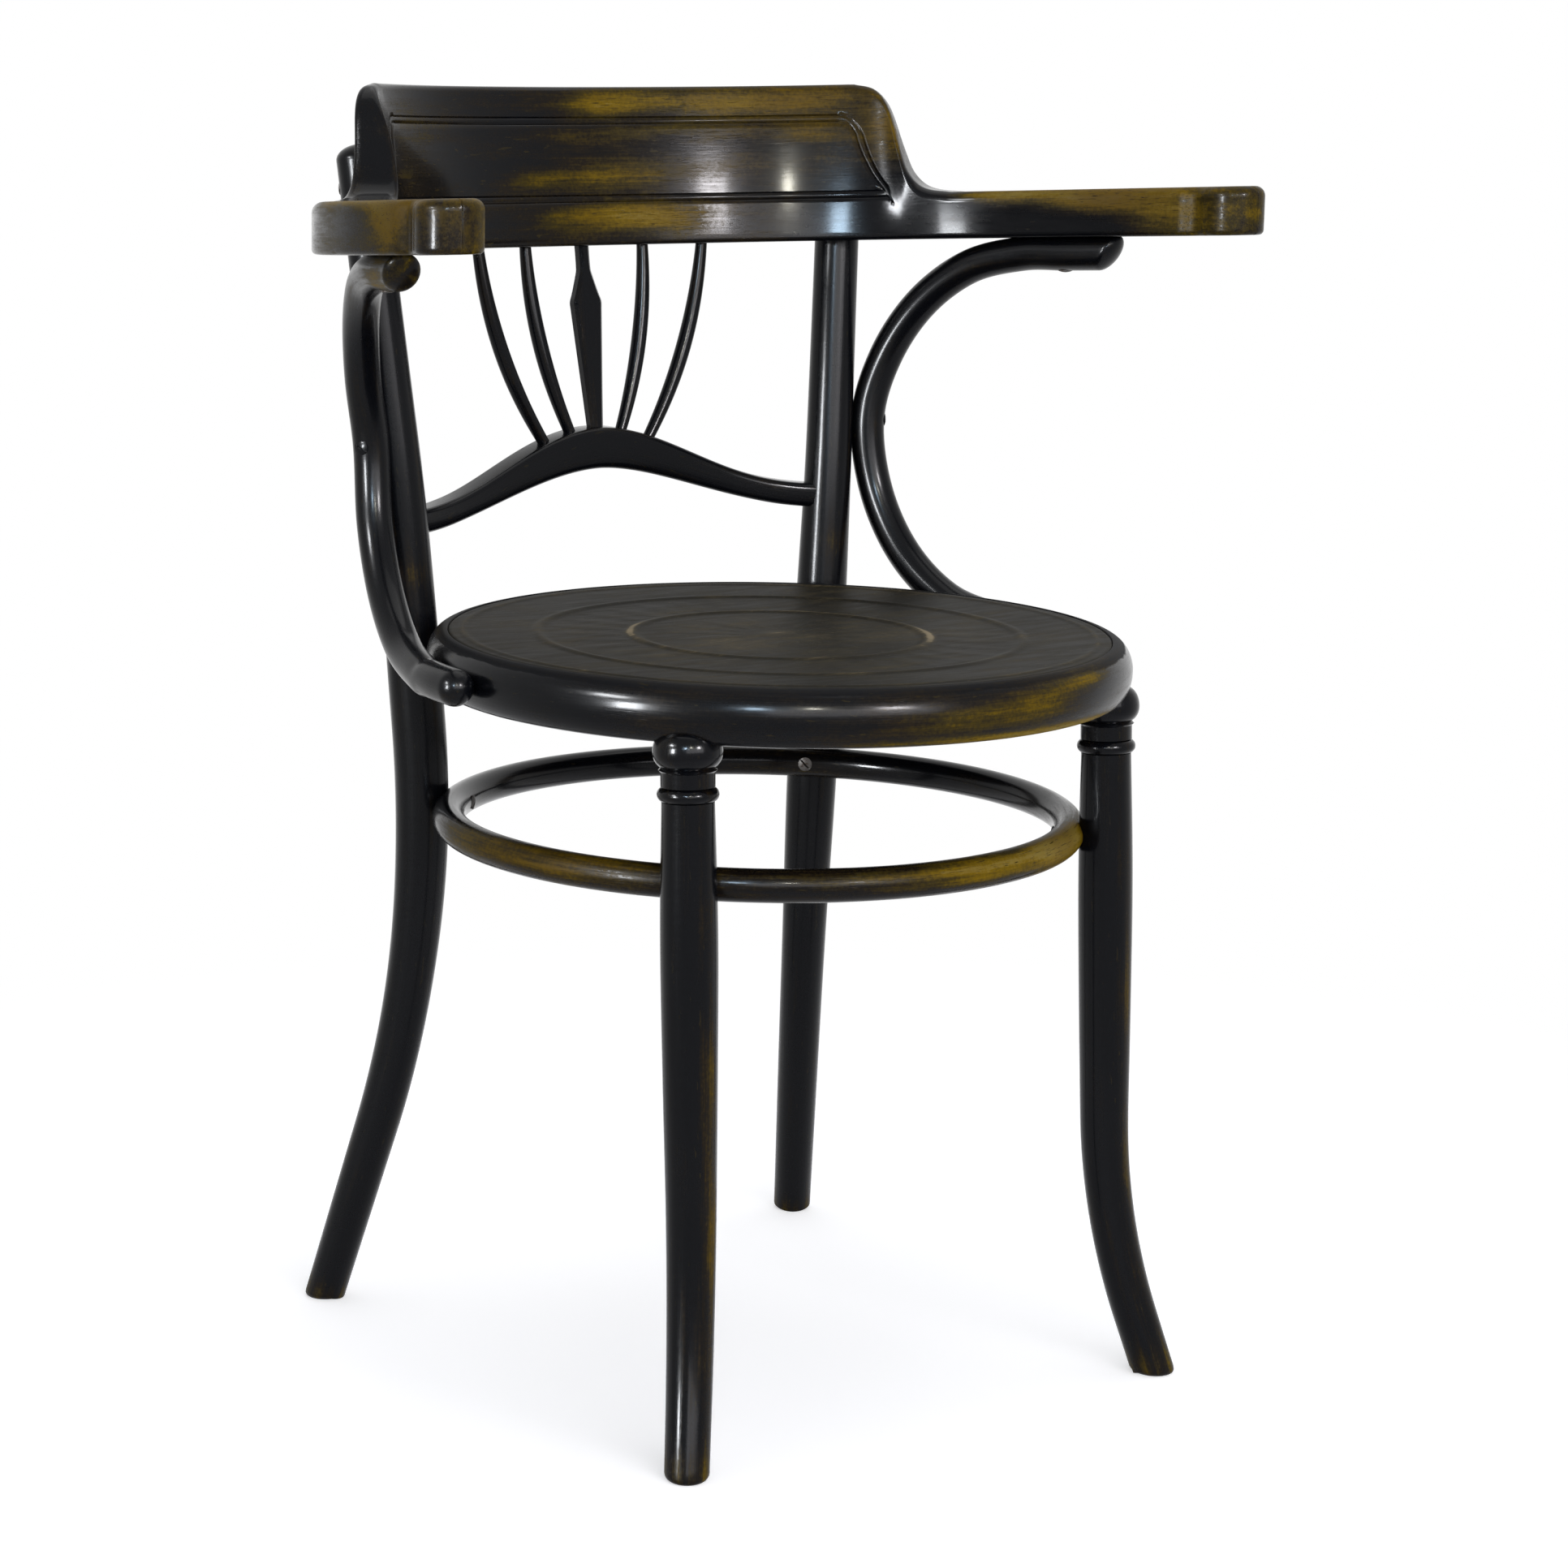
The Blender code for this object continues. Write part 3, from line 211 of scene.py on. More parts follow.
# Spindles and lance
SPINDLE_TOPS = (0.0858, 0.0450)
SPINDLE_FEET = (0.0406, 0.0200)
SPINDLE_SAGS = (0.0079, 0.0060)
SPINDLE_END_RADIUS = 0.0038
SPINDLE_BELLY_RADIUS = 0.0050
DOWEL_LENGTH = 0.0085
SPINDLE_BACK_SHARE = 0.60
LANCE_STEM_WIDTH = 0.0080
LANCE_SHOULDER_WIDTH = 0.0212
LANCE_FOOT_WIDTH = 0.0095
LANCE_THICKNESS = 0.0090
LANCE_STEM_LENGTH = 0.0150
LANCE_SHOULDER_DROP = 0.0360
LANCE_STEP = 0.0050
LANCE_CHAMFER = 0.0020

# Arm supports
SUPPORT_RADIUS = 0.0112
SUPPORT_CONTACT_HEIGHT = 0.563
SUPPORT_CONTACT_ANGLE = math.radians(26.0)
SUPPORT_SEAT_LIFT = -0.0010
SUPPORT_TIP_SET = 0.3545
SUPPORT_LEAVES_ARM = 0.2900
SUPPORT_ARM_BEND_REACH = 0.105
SUPPORT_INSET = 0.0160
SUPPORT_HOUSING = 0.0008
SUPPORT_END_ANGLE = math.radians(87.5)
SUPPORT_TIP_SLANT = 0.6
SUPPORT_SCREW_TURN = math.radians(8.0)

# Fasteners
SCREW_HEAD_RADIUS = 0.0046
SCREW_HEAD_HEIGHT = 0.0024
SCREW_HEAD_CROWN = 0.0010
SCREW_HEAD_EDGE = 0.0005
SCREW_SHANK_RADIUS = 0.0021
SCREW_SLOT_WIDTH = 0.0011
SCREW_SLOT_DEPTH = 0.0013
SLOT_WALL = 0.00004
CREST_SCREW_SHARE = 0.6
STRETCHER_SCREW_LENGTH = 0.030
SUPPORT_SCREW_LENGTH = 0.034
CREST_SCREW_LENGTH = 0.036
ARM_SCREW_LENGTH = 0.038
SEAT_SCREW_LENGTH = 0.047
BOLT_RADIUS = 0.0030
BOLT_HEAD_RADIUS = 0.0075
BOLT_HEAD_HEIGHT = 0.0035
BOLT_TAIL = 0.0085

# Fineness of the surfaces
MERGE_REACH = 1e-6
LEG_SIDES = 48
ROD_SIDES = 40
SPINDLE_SIDES = 24
RING_STEPS = 300
PANEL_STEPS = 288
SCREW_SIDES = 32

RIGHT = -1
LEFT = 1
UP = Vector((0.0, 0.0, 1.0))
ACROSS = Vector((1.0, 0.0, 0.0))
SIDE_NAMES = {RIGHT: "right", LEFT: "left"}

SEAT_UNDERSIDE = SEAT_HEIGHT - SEAT_RING_DEPTH
SEAT_MIDDLE = SEAT_HEIGHT - SEAT_RING_DEPTH / 2

# Viewpoint
CAMERA_PLACE = Vector((-1.4707, -2.0514, 0.8596))
CAMERA_AZIMUTH = math.radians(-35.92)
CAMERA_ELEVATION = math.radians(11.19)
CAMERA_ROLL = math.radians(1.338)
CAMERA_LENS = 95.14

# Rubbed places, as (centre, reach, strength), and darker ones, with a strength below 0.
# On the bow a place is (along, in from the front face, height).
BOW_WEAR = (
    ((0.020, 0.000, 0.092), (0.038, 0.012, 0.010), 0.52),
    ((0.080, 0.000, 0.092), (0.060, 0.012, 0.010), 0.44),
    ((0.150, 0.000, 0.091), (0.060, 0.012, 0.012), 0.42),
    ((0.203, 0.000, 0.070), (0.018, 0.012, 0.020), 0.44),
    ((-0.150, 0.000, 0.085), (0.030, 0.012, 0.020), 0.18),
    ((-0.170, 0.000, 0.050), (0.025, 0.012, 0.030), 0.16),
    ((0.060, 0.000, 0.073), (0.070, 0.012, 0.006), 0.30),
    ((0.155, 0.000, 0.070), (0.025, 0.012, 0.009), 0.34),
    ((-0.035, 0.000, 0.043), (0.024, 0.012, 0.008), 0.30),
    ((0.015, 0.000, 0.044), (0.032, 0.012, 0.010), 0.40),
    ((0.080, 0.000, 0.046), (0.060, 0.012, 0.018), 0.16),
    ((0.010, 0.000, 0.020), (0.048, 0.014, 0.009), 0.52),
    ((0.060, 0.000, 0.014), (0.032, 0.014, 0.010), 0.40),
    ((-0.020, 0.000, 0.006), (0.050, 0.014, 0.008), 0.22),
    ((0.100, 0.000, 0.022), (0.050, 0.014, 0.006), 0.22),
    ((0.280, 0.000, 0.027), (0.035, 0.014, 0.005), 0.52),
    ((0.350, 0.000, 0.024), (0.045, 0.014, 0.008), 0.66),
    ((0.415, 0.000, 0.016), (0.035, 0.014, 0.022), 0.56),
    ((0.455, 0.012, 0.016), (0.020, 0.020, 0.022), 0.26),
    ((0.350, 0.030, 0.031), (0.090, 0.035, 0.005), 0.50),
    ((0.400, 0.056, 0.016), (0.060, 0.014, 0.024), 0.46),
    ((-0.360, 0.030, 0.031), (0.090, 0.035, 0.005), 0.50),
    ((-0.340, 0.054, 0.018), (0.030, 0.016, 0.024), 0.30),
    ((-0.412, 0.048, 0.018), (0.028, 0.018, 0.022), 0.74),
    ((-0.452, 0.015, 0.016), (0.018, 0.026, 0.022), 0.48),
    ((-0.400, 0.000, 0.016), (0.045, 0.012, 0.024), 0.46),
    ((0.470, 0.015, 0.016), (0.014, 0.030, 0.022), 0.18),
    ((0.000, 0.030, 0.060), (0.110, 0.014, 0.030), 0.28),
    ((-0.075, 0.000, 0.088), (0.035, 0.012, 0.012), -0.10),
    ((-0.090, 0.000, 0.055), (0.040, 0.012, 0.014), -0.08),
    ((0.175, 0.000, 0.012), (0.040, 0.014, 0.014), -0.26),
    ((0.225, 0.000, 0.026), (0.030, 0.014, 0.024), -0.30),
    ((0.300, 0.000, 0.009), (0.045, 0.014, 0.011), -0.34),
    ((0.355, 0.000, 0.005), (0.030, 0.014, 0.006), -0.16),
    ((-0.215, 0.014, 0.060), (0.050, 0.009, 0.060), -0.40),
)
EDGE_WEAR = 0.22
EDGE_WEAR_WIDTH = 0.0014
EDGE_WEAR_DEPTH = 0.004
# Along the seat ring a place is (along from the front, out from the edge, height over the underside).
SEAT_WEAR = (
    ((-0.040, 0.000, 0.013), (0.060, 0.020, 0.013), 0.36),
    ((0.035, 0.000, 0.019), (0.050, 0.020, 0.013), 0.40),
    ((0.088, 0.000, 0.029), (0.040, 0.020, 0.006), 0.52),
    ((-0.020, 0.000, 0.002), (0.090, 0.020, 0.0035), 0.50),
    ((0.075, 0.000, 0.002), (0.050, 0.020, 0.0035), 0.62),
    ((-0.170, 0.000, 0.028), (0.050, 0.020, 0.005), 0.12),
    ((-0.330, 0.000, 0.016), (0.080, 0.020, 0.014), -0.06),
    ((-0.480, 0.000, 0.028), (0.060, 0.020, 0.008), 0.12),
    ((0.480, 0.000, 0.020), (0.100, 0.020, 0.020), 0.16),
)
STRETCHER_WEAR = (
    ((-0.230, 0.008, 0.004), (0.070, 0.014, 0.014), 0.62),
    ((-0.330, 0.008, 0.004), (0.040, 0.014, 0.014), 0.46),
    ((0.110, 0.008, 0.004), (0.080, 0.014, 0.014), 0.92),
    ((0.010, 0.008, 0.004), (0.050, 0.014, 0.014), 0.50),
    ((-0.080, 0.008, 0.008), (0.060, 0.014, 0.010), 0.32),
    ((0.480, 0.006, 0.006), (0.090, 0.014, 0.014), 0.42),
)
# On a leg or a rod a place is (along, towards the sitter's left, towards the back).
FRONT_RIGHT_WEAR = (
    ((0.215, 0.004, -0.015), (0.085, 0.0075, 0.0075), 0.42),
    ((0.120, 0.008, -0.014), (0.060, 0.0060, 0.0070), 0.26),
    ((0.055, -0.004, -0.014), (0.050, 0.0140, 0.0100), 0.22),
    ((0.330, 0.006, -0.014), (0.040, 0.0060, 0.0070), 0.18),
    ((0.004, 0.000, 0.000), (0.014, 0.0300, 0.0300), 0.40),
)
FRONT_LEFT_WEAR = (
    ((0.270, 0.006, -0.0145), (0.080, 0.0065, 0.0070), 0.42),
    ((0.140, 0.007, -0.0140), (0.060, 0.0060, 0.0070), 0.28),
    ((0.050, 0.000, -0.0140), (0.040, 0.0120, 0.0100), 0.20),
    ((0.004, 0.000, 0.000), (0.016, 0.0300, 0.0300), 0.40),
)
REAR_WEAR = (
    ((0.004, 0.000, 0.000), (0.012, 0.030, 0.030), 0.40),
    ((0.300, 0.010, -0.010), (0.060, 0.010, 0.010), 0.16),
    ((0.492, -0.002, -0.014), (0.010, 0.008, 0.008), 0.34),
)
SUPPORT_RIGHT_WEAR = (
    ((0.022, 0.000, 0.000), (0.036, 0.030, 0.030), 0.62),
    ((0.105, -0.004, 0.004), (0.030, 0.010, 0.012), 0.20),
    ((0.430, 0.000, 0.000), (0.040, 0.020, 0.020), 0.10),
)
SUPPORT_LEFT_WEAR = (
    ((0.105, 0.004, 0.004), (0.030, 0.010, 0.012), 0.16),
    ((0.430, 0.000, 0.000), (0.040, 0.020, 0.020), 0.10),
)
RAIL_WEAR = (((0.010, 0.000, -0.010), (0.040, 0.010, 0.010), 0.22),)
SPINDLE_WEAR = (((0.060, 0.000, -0.004), (0.030, 0.006, 0.006), 0.10),)


class Field:
    """A number that varies over a surface; arithmetic on it adds Math nodes."""

    def __init__(self, graph, socket):
        self.graph = graph
        self.socket = socket

    def math(self, operation, first, second):
        return self.graph.node("ShaderNodeMath", {"operation": operation}, {0: first, 1: second})

    def __add__(self, other):
        return self.math("ADD", self, other)

    def __radd__(self, other):
        return self.math("ADD", other, self)

    def __sub__(self, other):
        return self.math("SUBTRACT", self, other)

    def __rsub__(self, other):
        return self.math("SUBTRACT", other, self)

    def __mul__(self, other):
        return self.math("MULTIPLY", self, other)

    def __rmul__(self, other):
        return self.math("MULTIPLY", other, self)

    def most(self, other):
        return self.math("MAXIMUM", self, other)

    def step(self, low, high):
        """0 below low, 1 above high, and smooth between them."""
        settings = {"interpolation_type": "SMOOTHSTEP"}
        links = {"Value": self, "From Min": low, "From Max": high}
        return self.graph.node("ShaderNodeMapRange", settings, links)


class Graph:
    """A material's nodes."""

    def __init__(self, name):
        self.material = bpy.data.materials.new(name)
        self.material.use_nodes = True
        self.tree = self.material.node_tree
        self.shader = self.tree.nodes["Principled BSDF"]

    def node(self, kind, settings=None, links=None, output=0):
        node = self.tree.nodes.new(kind)
        for name, value in (settings or {}).items():
            if name == "stops":
                ramp = node.color_ramp
                while len(ramp.elements) < len(value):
                    ramp.elements.new(0.5)
                for element, (place, colour) in zip(ramp.elements, value):
                    element.position = place
                    element.color = (*colour, 1.0)
            else:
                setattr(node, name, value)
        for name, value in (links or {}).items():
            self.feed(node.inputs[name], value)
        return Field(self, node.outputs[output])

    def feed(self, socket, value):
        if isinstance(value, Field):
            self.tree.links.new(value.socket, socket)
        else:
            socket.default_value = value

    def attribute(self, name, output):
        return self.node("ShaderNodeAttribute", {"attribute_name": name}, output=output)

    def stretched(self, place, rates):
        return self.node("ShaderNodeVectorMath", {"operation": "MULTIPLY"}, {0: place, 1: rates})

    def noise(self, place, scale, detail, roughness):
        links = {"Vector": place, "Scale": scale, "Detail": detail, "Roughness": roughness}
        return self.node("ShaderNodeTexNoise", links=links)

    def grained(self, place, rates, detail, roughness):
        """Noise drawn out by its rates: how often it repeats in a metre, along each direction."""
        return self.noise(self.stretched(place, rates), 1.0, detail, roughness)

    def mix(self, share, first, second):
        links = {0: share, 6: first, 7: second}
        return self.node("ShaderNodeMix", {"data_type": "RGBA"}, links, output=2)

    def ramp(self, place, stops):
        return self.node("ShaderNodeValToRGB", {"stops": stops}, {"Fac": place})

    def bump(self, height, strength, distance):
        links = {"Height": height, "Strength": strength, "Distance": distance}
        return self.node("ShaderNodeBump", links=links)

    def surface(self, **values):
        for name, value in values.items():
            self.feed(self.shader.inputs[name.replace("_", " ")], value)
        return self.material


# Materials

BLACK = (0.0022, 0.0025, 0.0036)
BROWN_BLACK = (0.0095, 0.0066, 0.0036)
OLIVE = (0.0370, 0.0260, 0.0040)
GOLD = (0.1400, 0.0860, 0.0010)
AMBER = (0.0900, 0.0480, 0.0016)
BARE = (0.1800, 0.1280, 0.0240)
LACQUER_STOPS = ((0.0, BLACK), (0.22, BROWN_BLACK), (0.50, OLIVE), (0.84, GOLD), (1.0, BARE))

# The lacquer's patterns, as repeats in a metre along and across the grain
STREAK_RATES = (9.0, 190.0, 190.0)
FINE_RATES = (34.0, 900.0, 900.0)
CLOUD_RATES = (13.0, 52.0, 52.0)
PORE_RATES = (120.0, 1900.0, 1900.0)
CHIP_RATES = (90.0, 420.0, 420.0)
SCUFF_RATES = (60.0, 60.0, 300.0)
GRIT_RATE = 430.0
PATCH_RATE = 9.0
LACQUER_SPECULAR = 0.045
LACQUER_BUMP = (0.40, 0.0006)
COAT = 0.60
COAT_LOSS = 1.10
COAT_IOR = 1.20
SATIN_ROUGHNESS = 0.52
SATIN_SPECULAR = 0.04

# The pressed plywood's colours and patterns
PLY_STOPS = (
    (0.0, (0.0070, 0.0062, 0.0042)),
    (0.28, (0.0170, 0.0142, 0.0082)),
    (0.60, (0.0480, 0.0385, 0.0210)),
    (1.0, (0.2100, 0.1680, 0.1000)),
)
PLY_SPECK = (0.11, 0.085, 0.05)
PLY_STREAK_RATES = (26.0, 150.0, 60.0)
PLY_FINE_RATES = (160.0, 900.0, 200.0)
PLY_SPECK_RATES = (260.0, 420.0, 300.0)
PLY_CLOUD_RATE = 13.0
PLY_BUMP = (0.3, 0.0005)

# The screws' steel
STEEL = (0.060, 0.056, 0.052)
RUST = (0.035, 0.022, 0.014)
STEEL_SPOT_RATE = 900.0
RUST_RATE = 260.0
STEEL_BUMP = (0.25, 0.0002)


def rubbed_lacquer(name, streaks=0.9, clouds=0.8, polish=0.20, satin_top=False):
    """Black lacquer over beech: glossy where it is whole, and worn along the grain to golden brown."""
    graph = Graph(name)
    grain = graph.attribute("grain", "Vector")
    wear = graph.attribute("wear", "Fac")
    place = graph.node("ShaderNodeTexCoord", output="Object")
    streak = graph.grained(grain, STREAK_RATES, 6.0, 0.62)
    fine = graph.grained(grain, FINE_RATES, 3.0, 0.6)
    cloud = graph.grained(grain, CLOUD_RATES, 5.0, 0.6)
    grit = graph.noise(place, GRIT_RATE, 3.0, 0.6)
    rub = wear + (streak - 0.5) * streaks + (cloud - 0.5) * clouds + (fine - 0.5) * 0.30
    rub = (rub + (grit - 0.5) * 0.35).step(0.02, 1.04)

    pore = graph.grained(grain, PORE_RATES, 1.0, 0.5).step(0.60, 0.70)
    chip = graph.grained(grain, CHIP_RATES, 2.0, 0.5).step(0.68, 0.73) * (wear + 0.18)
    scuff = graph.grained(place, SCUFF_RATES, 4.0, 0.6)

    colour = graph.ramp(rub, LACQUER_STOPS)
    patch = graph.noise(place, PATCH_RATE, 3.0, 0.5).step(0.42, 0.62) * rub * rub
    colour = graph.mix(patch * 0.8, colour, (*AMBER, 1.0))
    colour = graph.mix(chip, colour, (*OLIVE, 1.0))
    colour = graph.mix(pore * rub * 0.7, colour, (*BROWN_BLACK, 1.0))
    height = streak * 0.35 + fine * 0.40 + grit * 0.15 - pore * rub * 0.8 - rub * 0.3 + scuff * 0.15
    normal = graph.bump(height, *LACQUER_BUMP)
    graph.surface(
        Base_Color=colour,
        Roughness=polish + rub * 0.30 + (scuff - 0.5) * 0.10 + (fine - 0.5) * 0.12 + chip * 0.2,
        Specular_IOR_Level=LACQUER_SPECULAR,
        Coat_Weight=(COAT - rub * COAT_LOSS).most(0.0),
        Coat_Roughness=polish * 0.6,
        Coat_IOR=COAT_IOR,
        Normal=normal,
    )
    if satin_top:
        satin = graph.attribute("satin", "Fac") + (streak - 0.5) * 0.8 + (scuff - 0.5) * 0.7
        links = {"Base Color": colour, "Roughness": SATIN_ROUGHNESS, "Normal": normal}
        links["Specular IOR Level"] = SATIN_SPECULAR
        dull = graph.node("ShaderNodeBsdfPrincipled", links=links)
        gloss = Field(graph, graph.shader.outputs[0])
        links = {0: satin.step(0.35, 0.60), 1: gloss, 2: dull}
        finish = graph.node("ShaderNodeMixShader", links=links)
        graph.feed(graph.tree.nodes["Material Output"].inputs["Surface"], finish)
    return graph.material.name


def pressed_panel(name):
    """Satin plywood with a pressed pattern, rubbed light on its raised lines."""
    graph = Graph(name)
    wear = graph.attribute("wear", "Fac")
    place = graph.node("ShaderNodeTexCoord", output="Object")
    streak = graph.grained(place, PLY_STREAK_RATES, 6.0, 0.62)
    fine = graph.grained(place, PLY_FINE_RATES, 3.0, 0.6)
    cloud = graph.noise(place, PLY_CLOUD_RATE, 5.0, 0.6)
    speck = graph.grained(place, PLY_SPECK_RATES, 2.0, 0.5).step(0.66, 0.72)
    rub = wear + (streak - 0.5) * 0.8 + (cloud - 0.5) * 1.0 + (fine - 0.5) * 0.5
    rub = rub.step(0.05, 1.0)
    colour = graph.mix(speck * 0.25, graph.ramp(rub, PLY_STOPS), (*PLY_SPECK, 1.0))
    return graph.surface(
        Base_Color=colour,
        Roughness=0.50 + (streak - 0.5) * 0.25 + rub * 0.08,
        Specular_IOR_Level=0.03,
        Normal=graph.bump(streak * 0.3 + fine * 0.4 + cloud * 0.3, *PLY_BUMP),
    ).name


def old_steel(name):
    """Dull steel with spots of rust."""
    graph = Graph(name)
    place = graph.node("ShaderNodeTexCoord", output="Object")
    spot = graph.noise(place, STEEL_SPOT_RATE, 4.0, 0.6)
    rust = graph.noise(place, RUST_RATE, 3.0, 0.6).step(0.52, 0.70)
    colour = graph.mix(rust, (*STEEL, 1.0), (*RUST, 1.0))
    return graph.surface(
        Base_Color=colour,
        Metallic=0.8 - rust * 0.6,
        Roughness=0.42 + spot * 0.25 + rust * 0.2,
        Specular_IOR_Level=0.1,
        Normal=graph.bump(spot, *STEEL_BUMP),
    ).name


# Forms


def ease(share):
    """0 to 1 with level ends."""
    share = min(max(share, 0.0), 1.0)
    return share * share * (3 - 2 * share)


def spread(low, high, count):
    """Evenly spaced numbers from low to high."""
    return [low + (high - low) * step / count for step in range(count + 1)]


def halfway(low, high, short, steps=40):
    """The place between low and high up to which short(place) holds, found by halving."""
    for _ in range(steps):
        middle = (low + high) / 2
        if short(middle):
            low = middle
        else:
            high = middle
    return low


def mirrored(side, vector):
    """A place or direction of the sitter's left side, taken to a side of the chair."""
    return Vector((side * vector.x, vector.y, vector.z))


def along(stations, place):
    """A smooth value at a place, through (place, value) stations in rising order."""
    last = len(stations) - 2
    index = 0
    while index < last and place > stations[index + 1][0]:
        index += 1
    slopes = []
    for near in (index, index + 1):
        before = stations[max(near - 1, 0)]
        after = stations[min(near + 1, last + 1)]
        slopes.append((after[1] - before[1]) / (after[0] - before[0]))
    (start, low), (end, high) = stations[index], stations[index + 1]
    span = end - start
    t = min(max((place - start) / span, 0.0), 1.0)
    rise = (2 * t**3 - 3 * t**2 + 1) * low + (3 * t**2 - 2 * t**3) * high
    return rise + span * ((t**3 - 2 * t**2 + t) * slopes[0] + (t**3 - t**2) * slopes[1])


class Path:
    """A line of points, measured along its length; past its ends it runs straight on."""

    def __init__(self, points):
        self.points = points
        self.marks = [0.0]
        for start, end in zip(points, points[1:]):
            self.marks.append(self.marks[-1] + (end - start).length)
        self.length = self.marks[-1]

    def at(self, distance):
        index = 0
        while index < len(self.points) - 2 and distance > self.marks[index + 1]:
            index += 1
        start, end = self.points[index], self.points[index + 1]
        share = (distance - self.marks[index]) / (self.marks[index + 1] - self.marks[index])
        return start + (end - start) * share

    def heading(self, distance):
        reach = self.length / 200
        return (self.at(distance + reach) - self.at(distance - reach)).normalized()

    def at_height(self, height):
        """The point of a rising path at a height above the floor."""
        return self.at(halfway(0.0, self.length, lambda distance: self.at(distance).z < height))


def smooth_line(points, steps=4):
    """A line through the points, rounded between them."""
    line = []
    for index in range(len(points) - 1):
        before = points[max(index - 1, 0)]
        start, end = points[index], points[index + 1]
        after = points[min(index + 2, len(points) - 1)]
        for step in range(steps):
            t = step / steps
            line.append(
                0.5
                * (
                    2 * start
                    + (end - before) * t
                    + (2 * before - 5 * start + 4 * end - after) * t**2
                    + (3 * start - before - 3 * end + after) * t**3
                )
            )
    return line + [points[-1]]


def bent_line(corners, bends, steps=40):
    """Straight runs joined by arcs, as a rod is bent: one bend radius for each inner corner."""
    line = [corners[0]]
    for before, corner, after, bend in zip(corners, corners[1:], corners[2:], bends):
        back = (before - corner).normalized()
        on = (after - corner).normalized()
        half = back.angle(on) / 2
        room = 0.9 * min((before - corner).length, (after - corner).length)
        bend = min(bend, room * math.tan(half))
        centre = corner + (back + on).normalized() * (bend / math.sin(half))
        first = (corner + back * (bend / math.tan(half)) - centre).normalized()
        last = (corner + on * (bend / math.tan(half)) - centre).normalized()
        line += [centre + bend * first.slerp(last, step / steps) for step in range(steps + 1)]
    return line + [corners[-1]]


def quarter(start, corner, end, steps=4):
    """A quarter of an ellipse from start to end, level with the corner's two sides."""
    turns = spread(0.0, math.pi / 2, steps)
    return [
        corner + (start - corner) * (1 - math.sin(turn)) + (end - corner) * (1 - math.cos(turn))
        for turn in turns
    ]


def skin(rings, halved=False):
    """A skin: a ring of edges extruded from station to station, and filled at its ends.

    A ring is a list of (point, grain), where grain is (along, across, over) in the wood.
    A halved skin is left open at its first ring, where its mirror image joins it.
    """
    shape = bmesh.new()
    around = shape.verts.layers.int.new("around")
    grain = shape.verts.layers.float_vector.new("grain")
    first = []
    for index, (point, wood_place) in enumerate(rings[0]):
        vert = shape.verts.new(point)
        vert[around] = index
        vert[grain] = wood_place
        first.append(vert)
    edges = [shape.edges.new((first[index - 1], first[index])) for index in range(len(first))]
    if not halved:
        shape.faces.new(first)
    for ring in rings[1:]:
        grown = bmesh.ops.extrude_edge_only(shape, edges=edges)["geom"]
        fresh = {item for item in grown if isinstance(item, bmesh.types.BMVert)}
        for vert in fresh:
            vert.co, vert[grain] = ring[vert[around]]
        edges = [
            item
            for item in grown
            if isinstance(item, bmesh.types.BMEdge) and fresh.issuperset(item.verts)
        ]
    bmesh.ops.edgeloop_fill(shape, edges=edges)
    return shape


def station(path, distance, side, section, start=0.0):
    """A ring of a skin: a section's (across, over) points, set square to a path."""
    heading = path.heading(distance)
    across = (side - heading * side.dot(heading)).normalized()
    over = heading.cross(across)
    centre = path.at(distance)
    return [(centre + across * a + over * b, Vector((distance - start, a, b))) for a, b in section]


def rod(path, stations, side, sides):
    """A round rod along a path, from (distance, radius) stations."""
    turns = [2 * math.pi * step / sides for step in range(sides)]
    rings = []
    for distance, radius in stations:
        section = [(radius * math.cos(turn), radius * math.sin(turn)) for turn in turns]
        rings.append(station(path, distance, side, section))
    return skin(rings)


def dome(distance, radius, rise, sign):
    """Stations that round off a rod's end, outwards from a distance."""
    turns = [math.radians(degrees) for degrees in (8, 16, 24, 33, 42, 51, 60, 68, 75, 81, 86, 89)]
    stations = [(distance + sign * rise * math.sin(t), radius * math.cos(t)) for t in turns]
    return stations if sign > 0 else stations[::-1]


def everything(shape):
    return shape.verts[:] + shape.edges[:] + shape.faces[:]


def girth(diameters, top, height):
    """Radius at a height of a leg whose diameters are given at even steps from the floor."""
    spacing = top / (len(diameters) - 1)
    stations = [(index * spacing, size / 2) for index, size in enumerate(diameters)]
    return along(stations, height)


def button(radius, rise):
    """(radius, height) points over the low crown of a screw's or bolt's head."""
    return [(radius * share, rise * (1 - share**2)) for share in spread(0.0, 1.0, 6)]


def spin(profile, steps, centre=Vector()):
    """A closed turned shape from (radius, height) points, about a vertical axis."""
    shape = bmesh.new()
    points = [shape.verts.new((radius, 0.0, height)) for radius, height in profile]
    edges = [shape.edges.new(pair) for pair in zip(points, points[1:])]
    if all(radius > MERGE_REACH for radius, height in profile):
        edges.append(shape.edges.new((points[-1], points[0])))
    bmesh.ops.spin(
        shape,
        geom=points + edges,
        axis=UP,
        angle=2 * math.pi,
        steps=steps,
        use_merge=True,
    )
    bmesh.ops.remove_doubles(shape, verts=shape.verts[:], dist=MERGE_REACH)
    bmesh.ops.translate(shape, verts=shape.verts[:], vec=centre)
    return shape


